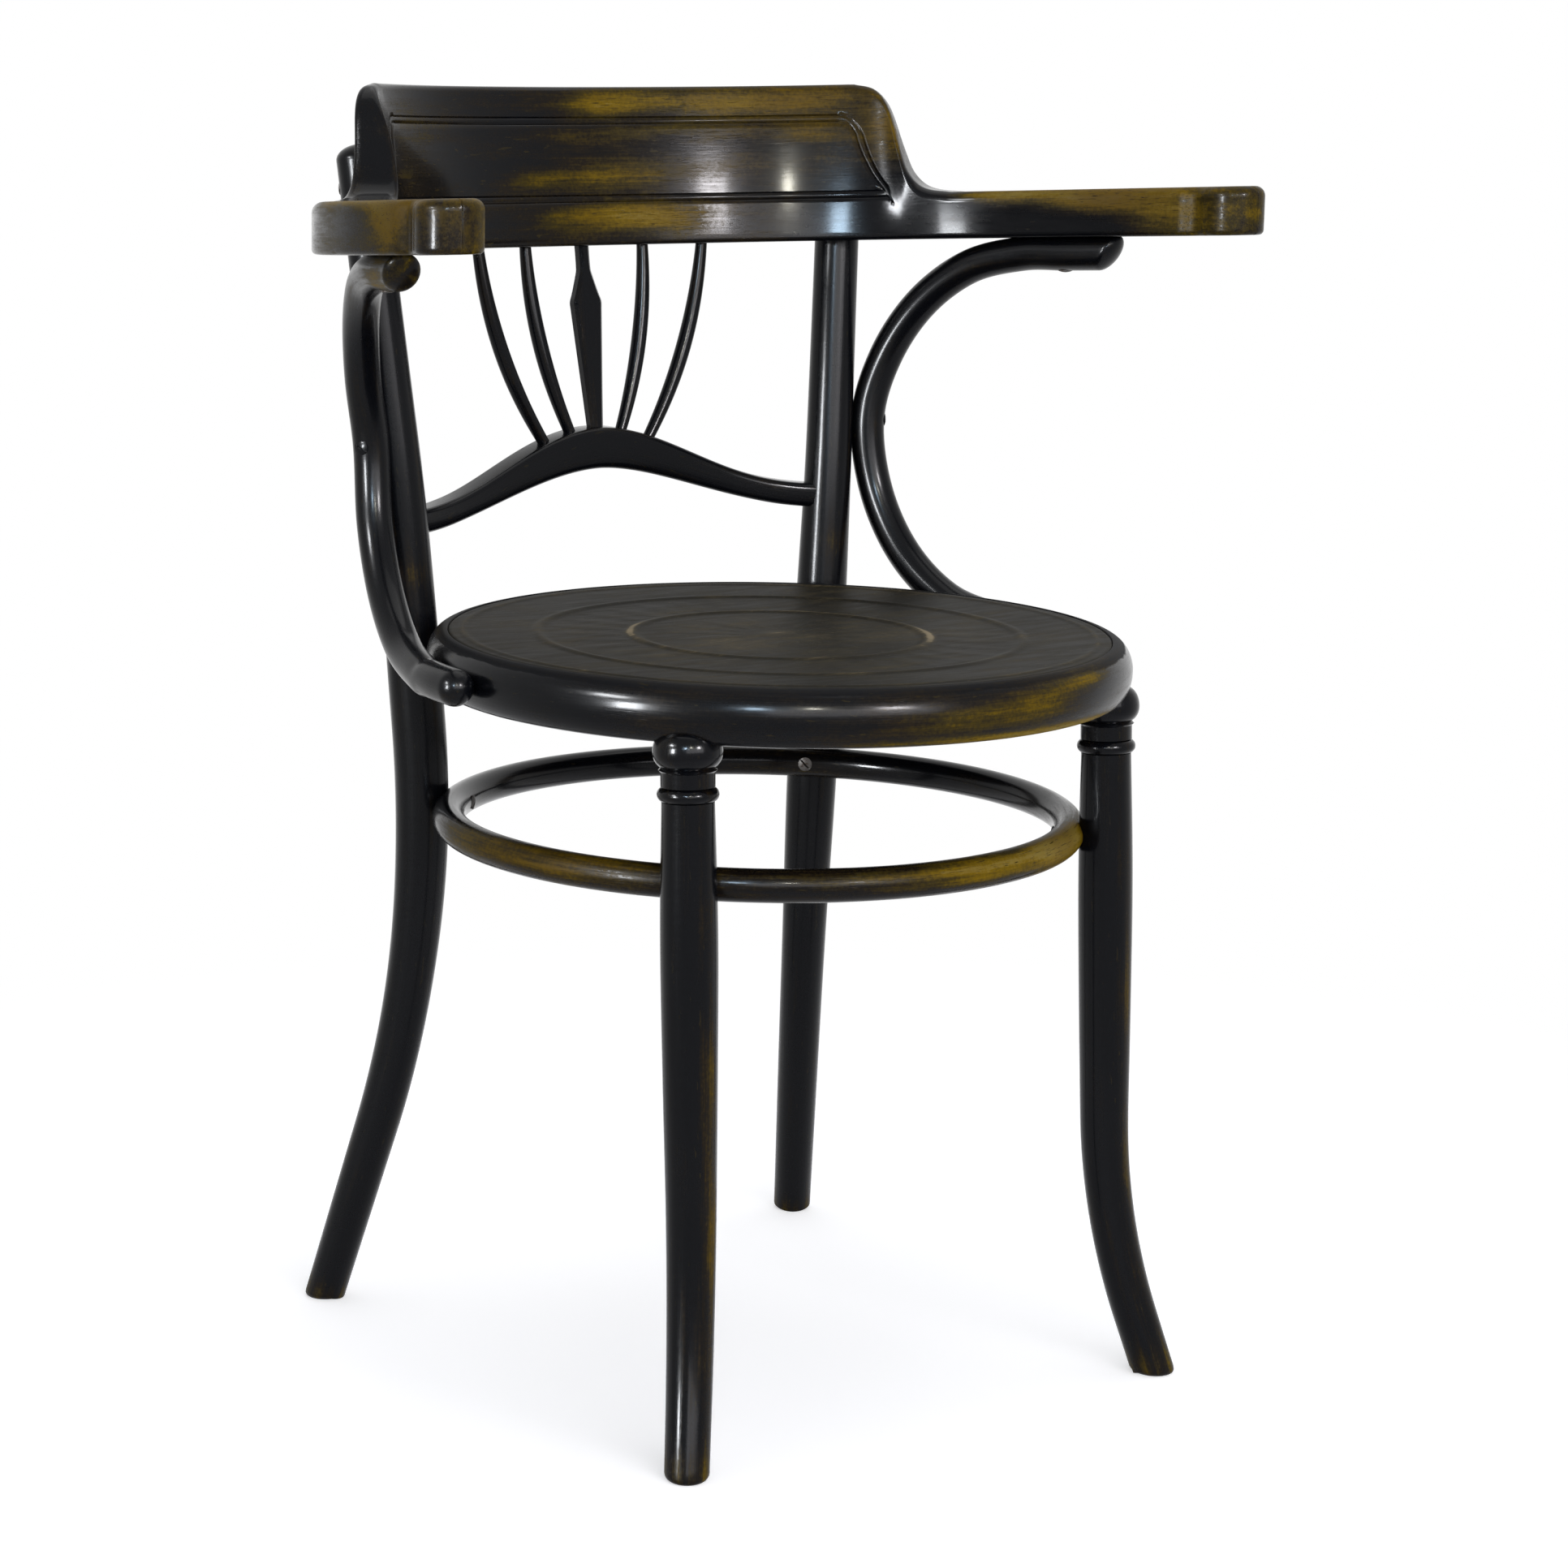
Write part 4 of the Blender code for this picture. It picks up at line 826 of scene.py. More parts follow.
def ring_grain(shape, radius, middle_y, level):
    """Marks the run of the wood round a bent ring, from its front; its scarf joint is at the back."""
    grain = shape.loops.layers.float_vector.new("grain")
    for face in shape.faces:
        turns = [math.atan2(loop.vert.co.x, middle_y - loop.vert.co.y) for loop in face.loops]
        wraps = max(turns) - min(turns) > math.pi
        for loop, turn in zip(face.loops, turns):
            reach = math.hypot(loop.vert.co.x, loop.vert.co.y - middle_y)
            turn += 2 * math.pi if wraps and turn < 0 else 0.0
            loop[grain] = Vector((radius * turn, reach - radius, loop.vert.co.z - level))


def rubbed(patches, place, least=0.0):
    """How far the finish is rubbed through at a place in the wood."""
    total = least
    for centre, reach, strength in patches:
        away = sum(((p - c) / r) ** 2 for p, c, r in zip(place, centre, reach))
        if away < 9.0:
            total += strength * math.exp(-away)
    return min(max(total, 0.0), 1.0)


def stand_on_floor(shape):
    """Cuts a leg level at the floor and eases the edge of its foot."""
    cut = bmesh.ops.bisect_plane(
        shape,
        geom=everything(shape),
        plane_co=(0.0, 0.0, 0.0),
        plane_no=UP,
        clear_inner=True,
    )
    rim = [item for item in cut["geom_cut"] if isinstance(item, bmesh.types.BMEdge)]
    bmesh.ops.edgeloop_fill(shape, edges=rim)
    bmesh.ops.bevel(
        shape, geom=rim, offset=FOOT_CHAMFER, segments=4, profile=0.5, affect="EDGES", material=-1
    )


def place_piece(name, shape, material, wear=None, smooth=40.0):
    """Finishes a piece: turns its faces out, paints its wear and sets it in place of its CAD node."""
    bmesh.ops.recalc_face_normals(shape, faces=shape.faces[:])
    if wear:
        layer = shape.verts.layers.float.new("wear")
        for vert in shape.verts:
            vert[layer] = wear(vert)
    bmesh.ops.translate(shape, verts=shape.verts[:], vec=SEAT_CENTRE)
    mesh = bpy.data.meshes.new(name)
    shape.to_mesh(mesh)
    shape.free()
    mesh.shade_smooth()
    mesh.set_sharp_from_angle(angle=math.radians(smooth))
    mesh.materials.append(bpy.data.materials[material])
    piece = bpy.data.objects.new(f"{name}_finished", mesh)
    bpy.context.scene.collection.objects.link(piece)
    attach(piece, BODY)
    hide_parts(name)


def painted(shape, patches, least=0.0):
    """A wear function for a piece whose points carry their place in the wood."""
    grain = shape.verts.layers.float_vector["grain"]
    return lambda vert: rubbed(patches, vert[grain], least)


# Seat


def seat_ring_shape():
    inner = SEAT_RADIUS - SEAT_RING_WIDTH
    lip = SEAT_RADIUS - SEAT_RIM
    ledge = SEAT_HEIGHT - PANEL_THICKNESS - PANEL_GAP
    half = SEAT_RING_DEPTH / 2
    turns = spread(0.0, math.pi / 2, 16)
    profile = [(lip, SEAT_HEIGHT - LIP_EASE), (lip + 0.0004, SEAT_HEIGHT - 0.0001)]
    for t in turns:
        out = SEAT_TOP_ROUND * (1 - math.sin(t))
        profile.append((SEAT_RADIUS - out, SEAT_MIDDLE + half * math.cos(t)))
    for t in turns[1:]:
        out = SEAT_UNDER_ROUND * (1 - math.cos(t))
        profile.append((SEAT_RADIUS - out, SEAT_MIDDLE - half * math.sin(t)))
    profile.append((inner + SEAT_INNER_EASE, SEAT_UNDERSIDE))
    profile.append((inner, SEAT_UNDERSIDE + SEAT_INNER_EASE))
    profile += [(inner, ledge), (lip, ledge)]
    shape = spin(profile, RING_STEPS)
    ring_grain(shape, SEAT_RADIUS, 0.0, SEAT_UNDERSIDE)
    satin = shape.verts.layers.float.new("satin")
    for vert in shape.verts:
        vert[satin] = ease((vert.co.z - SEAT_HEIGHT) / (half * 0.40) + 1.0)
    return shape


def ring_wear(patches, radius, middle_y, level, least=0.0):
    """A wear function for a bent ring."""

    def wear(vert):
        turn = math.atan2(vert.co.x, middle_y - vert.co.y)
        reach = math.hypot(vert.co.x, vert.co.y - middle_y)
        return rubbed(patches, (radius * turn, reach - radius, vert.co.z - level), least)

    return wear


def ridge(radius, middle, half):
    """1 on the crown of a raised ring, 0 beside it."""
    return 1.0 - ease(abs(radius - middle) / half)


def panel_relief(radius, turn):
    """Height of the pressed pattern: two rings, a band of leaves and a small rosette."""
    height = max(ridge(radius, ring, PANEL_RING_WIDTH / 2) for ring in PANEL_RING_RADII)
    height = max(height, 0.7 * ridge(radius, PANEL_LINE_RADIUS, PANEL_LINE_HALF))
    for low, high, count, lift in PANEL_LEAVES:
        share = (radius - low) / (high - low)
        if 0.0 < share < 1.0:
            swing = (turn * count / (2 * math.pi) + 0.10 * math.sin(math.pi * share)) % 1.0
            width = 0.46 * math.sin(math.pi * share**0.7) ** 0.8
            leaf = 1.0 - ease(abs(swing - 0.5) / max(width, 0.02))
            vein = ridge(swing, 0.5, 0.07) * 0.5
            height = max(height, lift * (leaf - vein))
    height = max(height, 0.5 * ridge(radius, 0.0, PANEL_BOSS_RADIUS))
    return height * PANEL_RING_RISE


def seat_panel_shape():
    edge = SEAT_RADIUS - SEAT_RIM - PANEL_GAP
    flat = edge * PANEL_FLAT_SHARE
    floor = SEAT_HEIGHT - PANEL_THICKNESS
    profile = []
    for radius in spread(0.0, edge - 0.0008, 104):
        sink = PANEL_DISH * (1 - ease((radius - flat) / (edge - flat)))
        profile.append((radius, SEAT_HEIGHT - PANEL_GAP - sink))
    profile += [(edge, SEAT_HEIGHT - PANEL_GAP - LIP_EASE), (edge, floor), (0.0, floor)]
    shape = spin(profile, PANEL_STEPS)
    for vert in shape.verts:
        if vert.co.z > floor + 0.001:
            turn = math.atan2(vert.co.x, -vert.co.y)
            vert.co.z += panel_relief(math.hypot(vert.co.x, vert.co.y), turn)
    return shape


def panel_wear(vert):
    """Rubbed lightest on the inner ring, at its two sides and its far edge."""
    radius = math.hypot(vert.co.x, vert.co.y)
    turn = math.atan2(vert.co.x, -vert.co.y)
    relief = panel_relief(radius, turn) / PANEL_RING_RISE
    crescents = 0.0
    for middle, reach, strength in PANEL_CRESCENTS:
        away = (turn - middle + math.pi) % (2 * math.pi) - math.pi
        crescents += strength * math.exp(-((away / reach) ** 2))
    worn_line = ridge(radius, PANEL_RING_RADII[0] + 0.002, 0.0040) * crescents
    sat = math.exp(-((radius / 0.12) ** 2))
    rim = ridge(radius, PANEL_LINE_RADIUS, PANEL_LINE_HALF) * 0.14
    return min(0.22 + 0.14 * sat + 0.13 * relief + worn_line + rim, 1.0)


# Legs


@functools.cache
def front_leg_path(side):
    reach = SEAT_RADIUS - FRONT_LEG_INSET
    x, y = side * reach * math.sin(FRONT_LEG_ANGLE), -reach * math.cos(FRONT_LEG_ANGLE)
    top = Vector((x, y, SEAT_UNDERSIDE))
    knee = Vector((top.x + side * FRONT_KNEE_SET[0], top.y + FRONT_KNEE_SET[1], FRONT_KNEE_HEIGHT))
    foot = Vector((top.x + side * FRONT_FOOT_SET[0], top.y + FRONT_FOOT_SET[1], 0.0))
    return Path(bent_line([foot, knee, top], [FRONT_KNEE_BEND]))


def front_leg_radius(height):
    return girth(FRONT_LEG_DIAMETERS, SEAT_UNDERSIDE - BEAD_DROP, height)


def front_leg_stations(path):
    """(distance, radius) from below the floor up to the dome of the capital."""
    top = path.length
    shaft = top - BEAD_DROP - BEAD_HALF
    stations = [(-FOOT_OVERRUN, front_leg_radius(0.0))]
    for distance in spread(0.0, shaft, 100)[1:]:
        stations.append((distance, front_leg_radius(path.at(distance).z)))
    for turn in spread(math.radians(-88), math.radians(88), 16):
        radius = BEAD_RADIUS - BEAD_HALF * (1 - math.cos(turn))
        stations.append((top - BEAD_DROP + BEAD_HALF * math.sin(turn), radius))
    stations.append((top - BEAD_DROP + BEAD_HALF + 0.0002, NECK_RADIUS))
    stations.append((top - NECK_TOP_DROP - NECK_FILLET / 2, NECK_RADIUS))
    stations.append((top - NECK_TOP_DROP + NECK_FILLET / 2, NECK_RADIUS + NECK_FILLET))
    for turn in spread(math.radians(-54), math.radians(86), 30):
        lift = BULB_RISE + BULB_DROP if turn > 0 else NECK_TOP_DROP - BULB_DROP
        radius = BULB_RADIUS * math.cos(turn) ** 0.5
        stations.append((top - BULB_DROP + lift * math.sin(turn), radius))
    return stations


def rear_leg_radius(height):
    return girth(REAR_LEG_DIAMETERS, STILE_TOP_HEIGHT, height)


def rear_leg_seat_point(side):
    reach = SEAT_RADIUS + rear_leg_radius(SEAT_MIDDLE) - REAR_LEG_HOUSING
    x, y = side * reach * math.sin(REAR_LEG_ANGLE), reach * math.cos(REAR_LEG_ANGLE)
    return Vector((x, y, SEAT_MIDDLE))


@functools.cache
def rear_leg_path(side):
    seat = rear_leg_seat_point(side)

    def near(offset, height):
        return Vector((seat.x + side * offset[0], seat.y + offset[1], height))

    corners = [
        near(REAR_FOOT_SET, 0.0),
        near(REAR_KNEE_SET, REAR_KNEE_HEIGHT),
        near(REAR_WAIST_SET, REAR_WAIST_HEIGHT),
        near(STILE_TOP_SET, STILE_TOP_HEIGHT),
    ]
    return Path(bent_line(corners, [REAR_KNEE_BEND, REAR_WAIST_BEND]))


def rear_leg_stations(path):
    crown = path.length - STILE_DOME_RISE
    stations = [(-FOOT_OVERRUN, rear_leg_radius(0.0))]
    for distance in spread(0.0, crown, 180)[1:]:
        stations.append((distance, rear_leg_radius(path.at(distance).z)))
    return stations + dome(crown, stations[-1][1], STILE_DOME_RISE, 1)


# Round stretcher


def stretcher_ring():
    """(radius, centre y) of the ring that lies in the housings of all four legs."""
    reaches = []
    legs = ((front_leg_path(LEFT), front_leg_radius), (rear_leg_path(LEFT), rear_leg_radius))
    for path, radius_at in legs:
        point = path.at_height(STRETCHER_HEIGHT)
        reaches.append((point, radius_at(STRETCHER_HEIGHT) + STRETCHER_RADIUS - STRETCHER_HOUSING))

    def radii(middle):
        return [math.hypot(point.x, point.y - middle) - reach for point, reach in reaches]

    def short(middle):
        front, rear = radii(middle)
        return front < rear

    middle = halfway(-SEAT_RADIUS, SEAT_RADIUS, short, 50)
    return radii(middle)[0], middle


def stretcher_shape():
    radius, middle = stretcher_ring()
    turns = [2 * math.pi * step / ROD_SIDES for step in range(ROD_SIDES)]
    size = STRETCHER_RADIUS
    profile = [(radius + size * math.cos(t), size * math.sin(t)) for t in turns]
    shape = spin(profile, RING_STEPS, Vector((0.0, middle, STRETCHER_HEIGHT)))
    ring_grain(shape, radius, middle, STRETCHER_HEIGHT)
    return shape


# Arm bow


def bow_place(distance):
    """The bow's inner face at a distance from its middle: x, y and turn, with its middle at y = 0."""
    x, y, turn = 0.0, 0.0, 0.0
    for bend, limit in ((BACK_BEND, BACK_TURN), (SHOULDER_BEND, SHOULDER_TURN), (ARM_BEND, math.pi)):
        run = min(distance, bend * (limit - turn))
        after = turn + run / bend
        x += bend * (math.sin(after) - math.sin(turn))
        y += bend * (math.cos(after) - math.cos(turn))
        distance -= run
        turn = after
        if distance <= 0.0:
            break
    return x, y, turn


def bow_width(distance):
    spacing = (BOW_HALF_LENGTH - ARM_NECK_SET - CREST_HALF_LENGTH) / (len(ARM_WIDTHS) - 1)
    stations = [(CREST_HALF_LENGTH + index * spacing, size) for index, size in enumerate(ARM_WIDTHS)]
    return along(stations, max(distance, CREST_HALF_LENGTH))


def crest_share(distance):
    """1 along the crest rail, 0 along the arm."""
    return along(CREST_DROP_SHAPE, (distance - CREST_HALF_LENGTH) / CREST_DROP_LENGTH)


@functools.cache
def bow_side(distance):
    """Left half of the bow: inner point, outward and forward directions in plan."""
    x, y, turn = bow_place(distance)
    point = Vector((x, y + bow_middle_y(), 0.0))
    outward = Vector((math.sin(turn), math.cos(turn), 0.0))
    forward = Vector((math.cos(turn), -math.sin(turn), 0.0))
    return point, outward, forward


@functools.cache
def bow_middle_y():
    """How far back the crest's middle lies, so that its back rests in the stiles."""
    height = BOW_HEIGHT + CREST_HEIGHT / 2
    stile = rear_leg_path(LEFT).at_height(height)
    wanted = rear_leg_radius(height) - BOW_HOUSING
    shift = bow_width(0.0) + CREST_HEIGHT / 2 * math.tan(CREST_BACK_RAKE)

    def clear(middle):
        nearest = SEAT_RADIUS
        for step in range(80):
            x, y, turn = bow_place(CREST_HALF_LENGTH * step / 60)
            back = (x + shift * math.sin(turn), y + shift * math.cos(turn) + middle)
            nearest = min(nearest, math.hypot(back[0] - stile.x, back[1] - stile.y))
            if back[1] > stile.y and back[0] > stile.x:
                nearest = 0.0
        return nearest > wanted

    return halfway(-SEAT_RADIUS, 2 * SEAT_RADIUS, clear)


def bow_floor(y):
    """Height of the bow's level underside, which rises towards the front."""
    return BOW_HEIGHT + math.tan(BOW_TILT) * (bow_middle_y() - y)


def groove_rows(middle):
    """Heights, or lengths, that bound and fill one run of the sunk moulding."""
    half, bead = GROOVE_HALF_WIDTH, GROOVE_BEAD_HALF
    offsets = (-half, -(half + bead) / 2, -bead, 0.0, bead, (half + bead) / 2, half)
    return [middle + offset for offset in offsets]


FACE_TOP = CREST_HEIGHT - CREST_TOP_ROUND
FACE_KNEE = GROOVE_LOW + 2 * GROOVE_HALF_WIDTH
FACE_ROWS = (
    spread(0.006, 0.025, 4)
    + groove_rows(GROOVE_LOW)
    + spread(0.036, 0.074, 9)
    + groove_rows(GROOVE_HIGH)
    + spread(0.085, 0.095, 2)
)


def face_rise(row, top):
    """Height on the bow's face of a row that is named by its height on the crest rail."""
    knee = min(FACE_KNEE, 0.5 * top)
    base = BOW_UNDER_ROUND
    if row < FACE_KNEE:
        return base + (row - base) * (knee - base) / (FACE_KNEE - base)
    return knee + (row - FACE_KNEE) / (FACE_TOP - FACE_KNEE) * (top - knee)


def end_slant(distance, row):
    """How far the mesh leans outwards, so that its lines follow the moulding's flared ends."""
    share = 1 - (row - GROOVE_LOW) / (GROOVE_HIGH - GROOVE_LOW)
    lean = GROOVE_FLARE * min(max(share, 0.0), 1.0) ** 1.7
    below, above = LEAN_TOP_RUNS
    top = ease((row - GROOVE_HIGH + below) / below) * (1 - ease((row - GROOVE_HIGH) / above))
    lean -= LEAN_TOP_SET * top
    lean *= ease(row / (GROOVE_LOW - GROOVE_HALF_WIDTH))
    (start, run), (end, fade) = LEAN_IN, LEAN_OUT
    return lean * ease((distance - start) / run) * (1 - ease((distance - end) / fade))


def groove_depth(distance, row):
    """Depth of the sunk moulding, a bead between two cut lines, mitred at its corners."""
    end, top = GROOVE_END - distance, GROOVE_HIGH - row
    if max(end, top) < GROOVE_CORNER:
        end = GROOVE_CORNER - math.hypot(GROOVE_CORNER - end, GROOVE_CORNER - top)
    inside = min(end, row - GROOVE_LOW, top)
    cut = (GROOVE_HALF_WIDTH + GROOVE_BEAD_HALF) / 2
    profile = (
        (0.0, BEAD_TOP_SHARE),
        (GROOVE_BEAD_HALF, BEAD_SIDE_SHARE),
        (cut, 1.0),
        (GROOVE_HALF_WIDTH, 0.0),
    )
    away = abs(inside)
    for (near, low), (far, high) in zip(profile, profile[1:]):
        if away <= far:
            return GROOVE_DEPTH * (low + (high - low) * (away - near) / (far - near))
    return 0.0


def wall_places(height, top_round):
    """(row, inset, rise) up one face: the underside's round, the face and the top's round."""
    places = []
    for t in spread(0.0, math.pi / 2, 4):
        rise = BOW_UNDER_ROUND * (1 - math.cos(t))
        places.append((0.0, BOW_UNDER_ROUND * (1 - math.sin(t)), rise))
    for row in FACE_ROWS:
        places.append((row, 0.0, face_rise(row, height - top_round)))
    for t in spread(0.0, math.pi / 2, 6):
        rise = height - top_round * (1 - math.sin(t))
        places.append((FACE_TOP, top_round * (1 - math.cos(t)), rise))
    return places


def section_size(distance):
    """(share of the crest rail's form, height, round of the upper edges) along the bow."""
    share = crest_share(distance)
    height = ARM_HEIGHT + (CREST_HEIGHT - ARM_HEIGHT) * share
    return share, height, ARM_TOP_ROUND + (CREST_TOP_ROUND - ARM_TOP_ROUND) * share


def cove_depth(distance):
    """How far each side of the arm is hollowed just before its round head, whose curve it joins."""
    ahead = distance - BOW_HALF_LENGTH
    disc = math.sqrt(max(ARM_HEAD_RADIUS**2 - ahead**2, 0.0))
    side = ARM_HEAD_RADIUS - ARM_COVE * ease(ahead / COVE_RUN + COVE_START)
    soft = COVE_FILLET * (1 - ease((ahead + ARM_HEAD_RADIUS / 2) / (ARM_HEAD_RADIUS * 0.3)))
    return ARM_HEAD_RADIUS - (disc + side + math.hypot(disc - side, soft) - soft * 0.25) / 2


def face_crown(share, rise):
    """How far a place on the front face falls back from the crown of the face."""
    return share * (rise - FACE_CROWN_HEIGHT) ** 2 / (2 * FACE_CROWN)


def front_point(distance, index):
    """(point, grain) at one place up the front face of the left half."""
    row = wall_places(*section_size(distance)[1:])[index][0]
    place = distance + end_slant(distance, row)
    share, height, top_round = section_size(place)
    row, inset, rise = wall_places(height, top_round)[index]
    point, outward, _ = bow_side(place)
    sink = inset + cove_depth(place) + groove_depth(distance, row) + face_crown(share, rise)
    spot = point + outward * (sink + rise * math.tan(CREST_FRONT_RAKE * share))
    spot.z = bow_floor(spot.y) + rise
    return spot, Vector((place, sink, rise))


def back_point(distance, index):
    """(point, grain) at one place up the back face of the left half."""
    share, height, top_round = section_size(distance)
    _, inset, rise = wall_places(height, top_round)[index]
    point, outward, _ = bow_side(distance)
    width = bow_width(distance) - cove_depth(distance)
    spot = point + outward * (width - inset + rise * math.tan(CREST_BACK_RAKE * share))
    spot.z = bow_floor(spot.y) + rise
    return spot, Vector((distance, width - inset, rise))


def head_point(turn, sign, index):
    """(point, grain) on the round head of the arm; sign is -1 on its inner half."""
    _, inset, rise = wall_places(ARM_HEIGHT, ARM_TOP_ROUND)[index]
    point, outward, forward = bow_side(BOW_HALF_LENGTH)
    reach = ARM_HEAD_RADIUS - inset
    ahead, aside = reach * math.sin(turn), sign * reach * math.cos(turn)
    spot = point + outward * (ARM_HEAD_RADIUS + aside) + forward * ahead
    spot.z = bow_floor(spot.y) + rise
    return spot, Vector((BOW_HALF_LENGTH + ahead, ARM_HEAD_RADIUS + aside, rise))


def close_section(front, back):
    """Joins a front and a back wall with a flat top and underside."""
    ring = list(front)
    for share in spread(0.0, 1.0, 4)[1:-1]:
        ring.append(tuple(a.lerp(b, share) for a, b in zip(front[-1], back[-1])))
    ring += back[::-1]
    for share in spread(0.0, 1.0, 6)[1:-1]:
        ring.append(tuple(a.lerp(b, share) for a, b in zip(back[0], front[0])))
    return ring


def bow_shape():
    count = len(wall_places(CREST_HEIGHT, CREST_TOP_ROUND))
    neck = BOW_HALF_LENGTH - COVE_RUN * COVE_START
    head = BOW_HALF_LENGTH - ARM_HEAD_RADIUS * math.sin(HEAD_START)
    distances = spread(0.0, CREST_RUN_END, 58) + groove_rows(GROOVE_END) + spread(*DROP_RUN, 44)
    distances += spread(ARM_RUN_START, neck, 56) + spread(neck, head, 34)[1:-1]
    left = []
    for distance in distances:
        front = [front_point(distance, index) for index in range(count)]
        back = [back_point(distance, index) for index in range(count)]
        left.append(close_section(front, back))
    for turn in spread(-HEAD_START, math.radians(88.5), 34):
        front = [head_point(turn, -1, index) for index in range(count)]
        back = [head_point(turn, 1, index) for index in range(count)]
        left.append(close_section(front, back))
    shape = skin(left, halved=True)
    bmesh.ops.mirror(shape, geom=everything(shape), axis="X", merge_dist=MERGE_REACH)
    grain = shape.verts.layers.float_vector["grain"]
    for vert in shape.verts:
        vert[grain].x = math.copysign(vert[grain].x, vert.co.x)
    return shape


def bow_wear(shape):
    """A wear function for the bow, which is also rubbed along its upper edges."""
    spread_wear = painted(shape, BOW_WEAR, 0.20)
    grain = shape.verts.layers.float_vector["grain"]

    def wear(vert):
        along_bow, inset, rise = vert[grain]
        height = section_size(abs(along_bow))[1]
        edge = math.exp(-(((rise - height + EDGE_WEAR_WIDTH) / EDGE_WEAR_WIDTH) ** 2))
        edge *= 1 - ease(abs(inset) / EDGE_WEAR_DEPTH)
        return min(spread_wear(vert) + EDGE_WEAR * edge, 1.0)

    return wear


def bow_underside(x):
    """Middle of the bow's underside at a place across the chair."""

    def middle(distance):
        point, outward, _ = bow_side(distance)
        return point + outward * bow_width(distance) * SPINDLE_BACK_SHARE

    y = middle(halfway(0.0, CREST_HALF_LENGTH, lambda distance: middle(distance).x < abs(x))).y
    return Vector((x, y, bow_floor(y)))


# Cross rail


def rail_place(share):
    """Centre of the rail, from -1 in one stile to 1 in the other."""
    stile = rear_leg_path(LEFT).at_height(RAIL_HEIGHT)
    reach = stile.x - rear_leg_radius(RAIL_HEIGHT) + RAIL_LET_IN
    y = stile.y + RAIL_BOW_BACK * (1 - share**2)
    rise = RAIL_RISE * (1 + math.cos(math.pi * abs(share) ** RAIL_CROWN_SHAPE)) / 2
    return Vector((reach * share, y, RAIL_HEIGHT + rise))


def rail_crown(share):
    """1 at the rail's middle, 0 at its ends."""
    return 1.0 - ease(abs(share) / RAIL_CROWN_REACH)


def rail_depth(share):
    return RAIL_END_DEPTH + (RAIL_CROWN_DEPTH - RAIL_END_DEPTH) * rail_crown(share)


def rounded_section(depth, width, round_size):
    """(up, across) points of a rectangle with rounded corners."""
    points = []
    corners = ((1, 1, 0), (-1, 1, 90), (-1, -1, 180), (1, -1, 270))
    for up, across, start in corners:
        for degrees in spread(start, start + 90, 6):
            turn = math.radians(degrees)
            a = up * (depth / 2 - round_size) + round_size * math.cos(turn)
            b = across * (width / 2 - round_size) + round_size * math.sin(turn)
            points.append((a, b))
    return points


def rail_shape():
    shares = spread(-1.0, 1.0, 120)
    path = Path([rail_place(share) for share in shares])
    middle = path.length / 2
    rings = []
    for share, mark in zip(shares, path.marks):
        width = RAIL_END_WIDTH + (RAIL_CROWN_WIDTH - RAIL_END_WIDTH) * rail_crown(share)
        section = rounded_section(rail_depth(share), width, RAIL_EDGE_ROUND)
        rings.append(station(path, mark, UP, section, middle))
    return skin(rings)


def rail_top(x):
    """Point on top of the rail at a place across the chair."""
    share = x / rail_place(1.0).x
    return rail_place(share) + UP * rail_depth(share) / 2


# Spindles and lance


def spindle_shape(side, index):
    """A bowed spindle, fullest at its middle, with a dowel in the bow and one in the rail."""
    top = bow_underside(side * SPINDLE_TOPS[index])
    foot = rail_top(side * SPINDLE_FEET[index])
    chord = top - foot
    bulge = Vector((side * abs(chord.z), 0.0, -side * chord.x)).normalized() * SPINDLE_SAGS[index]
    shares = spread(0.0, 1.0, 60)
    path = Path([foot + chord * t + bulge * 4 * t * (1 - t) for t in shares])
    girth = SPINDLE_BELLY_RADIUS - SPINDLE_END_RADIUS
    stations = [(-DOWEL_LENGTH, SPINDLE_END_RADIUS)]
    for share, mark in zip(shares, path.marks):
        stations.append((mark, SPINDLE_END_RADIUS + girth * math.sin(math.pi * share)))
    stations.append((path.length + DOWEL_LENGTH, SPINDLE_END_RADIUS))
    return rod(path, stations, Vector((0.0, 1.0, 0.0)), SPINDLE_SIDES)


def lance_shape():
    """The middle splat: a stem that widens at its shoulder and tapers to its foot, with cut edges."""
    path = Path([bow_underside(0.0), rail_top(0.0)])
    end = path.length
    outline = (
        (-DOWEL_LENGTH, LANCE_STEM_WIDTH),
        (LANCE_STEM_LENGTH, LANCE_STEM_WIDTH),
        (LANCE_STEM_LENGTH + LANCE_STEP, LANCE_STEM_WIDTH + LANCE_STEP / 2),
        (LANCE_SHOULDER_DROP - LANCE_STEP, LANCE_SHOULDER_WIDTH * 0.83),
        (LANCE_SHOULDER_DROP, LANCE_SHOULDER_WIDTH),
        (LANCE_SHOULDER_DROP + LANCE_STEP, LANCE_SHOULDER_WIDTH * 0.98),
        (end, LANCE_FOOT_WIDTH),
        (end + DOWEL_LENGTH, LANCE_FOOT_WIDTH),
    )
    rings = []
    for distance in spread(-DOWEL_LENGTH, end + DOWEL_LENGTH, 90):
        half = along(outline, distance) / 2
        thick = LANCE_THICKNESS / 2
        cut = LANCE_CHAMFER
        corners = [(half, thick - cut), (half - cut, thick)]
        corners += [(-a, b) for a, b in corners[::-1]]
        corners += [(-a, -b) for a, b in corners]
        rings.append(station(path, distance, ACROSS, corners))
    return skin(rings)


# Arm supports


def support_under_arm(distance):
    """Centre of the support rod where it lies under the left arm."""
    point, outward, _ = bow_side(distance)
    centre = point + outward * SUPPORT_INSET
    centre.z = bow_floor(centre.y) - SUPPORT_RADIUS + SUPPORT_HOUSING
    return centre


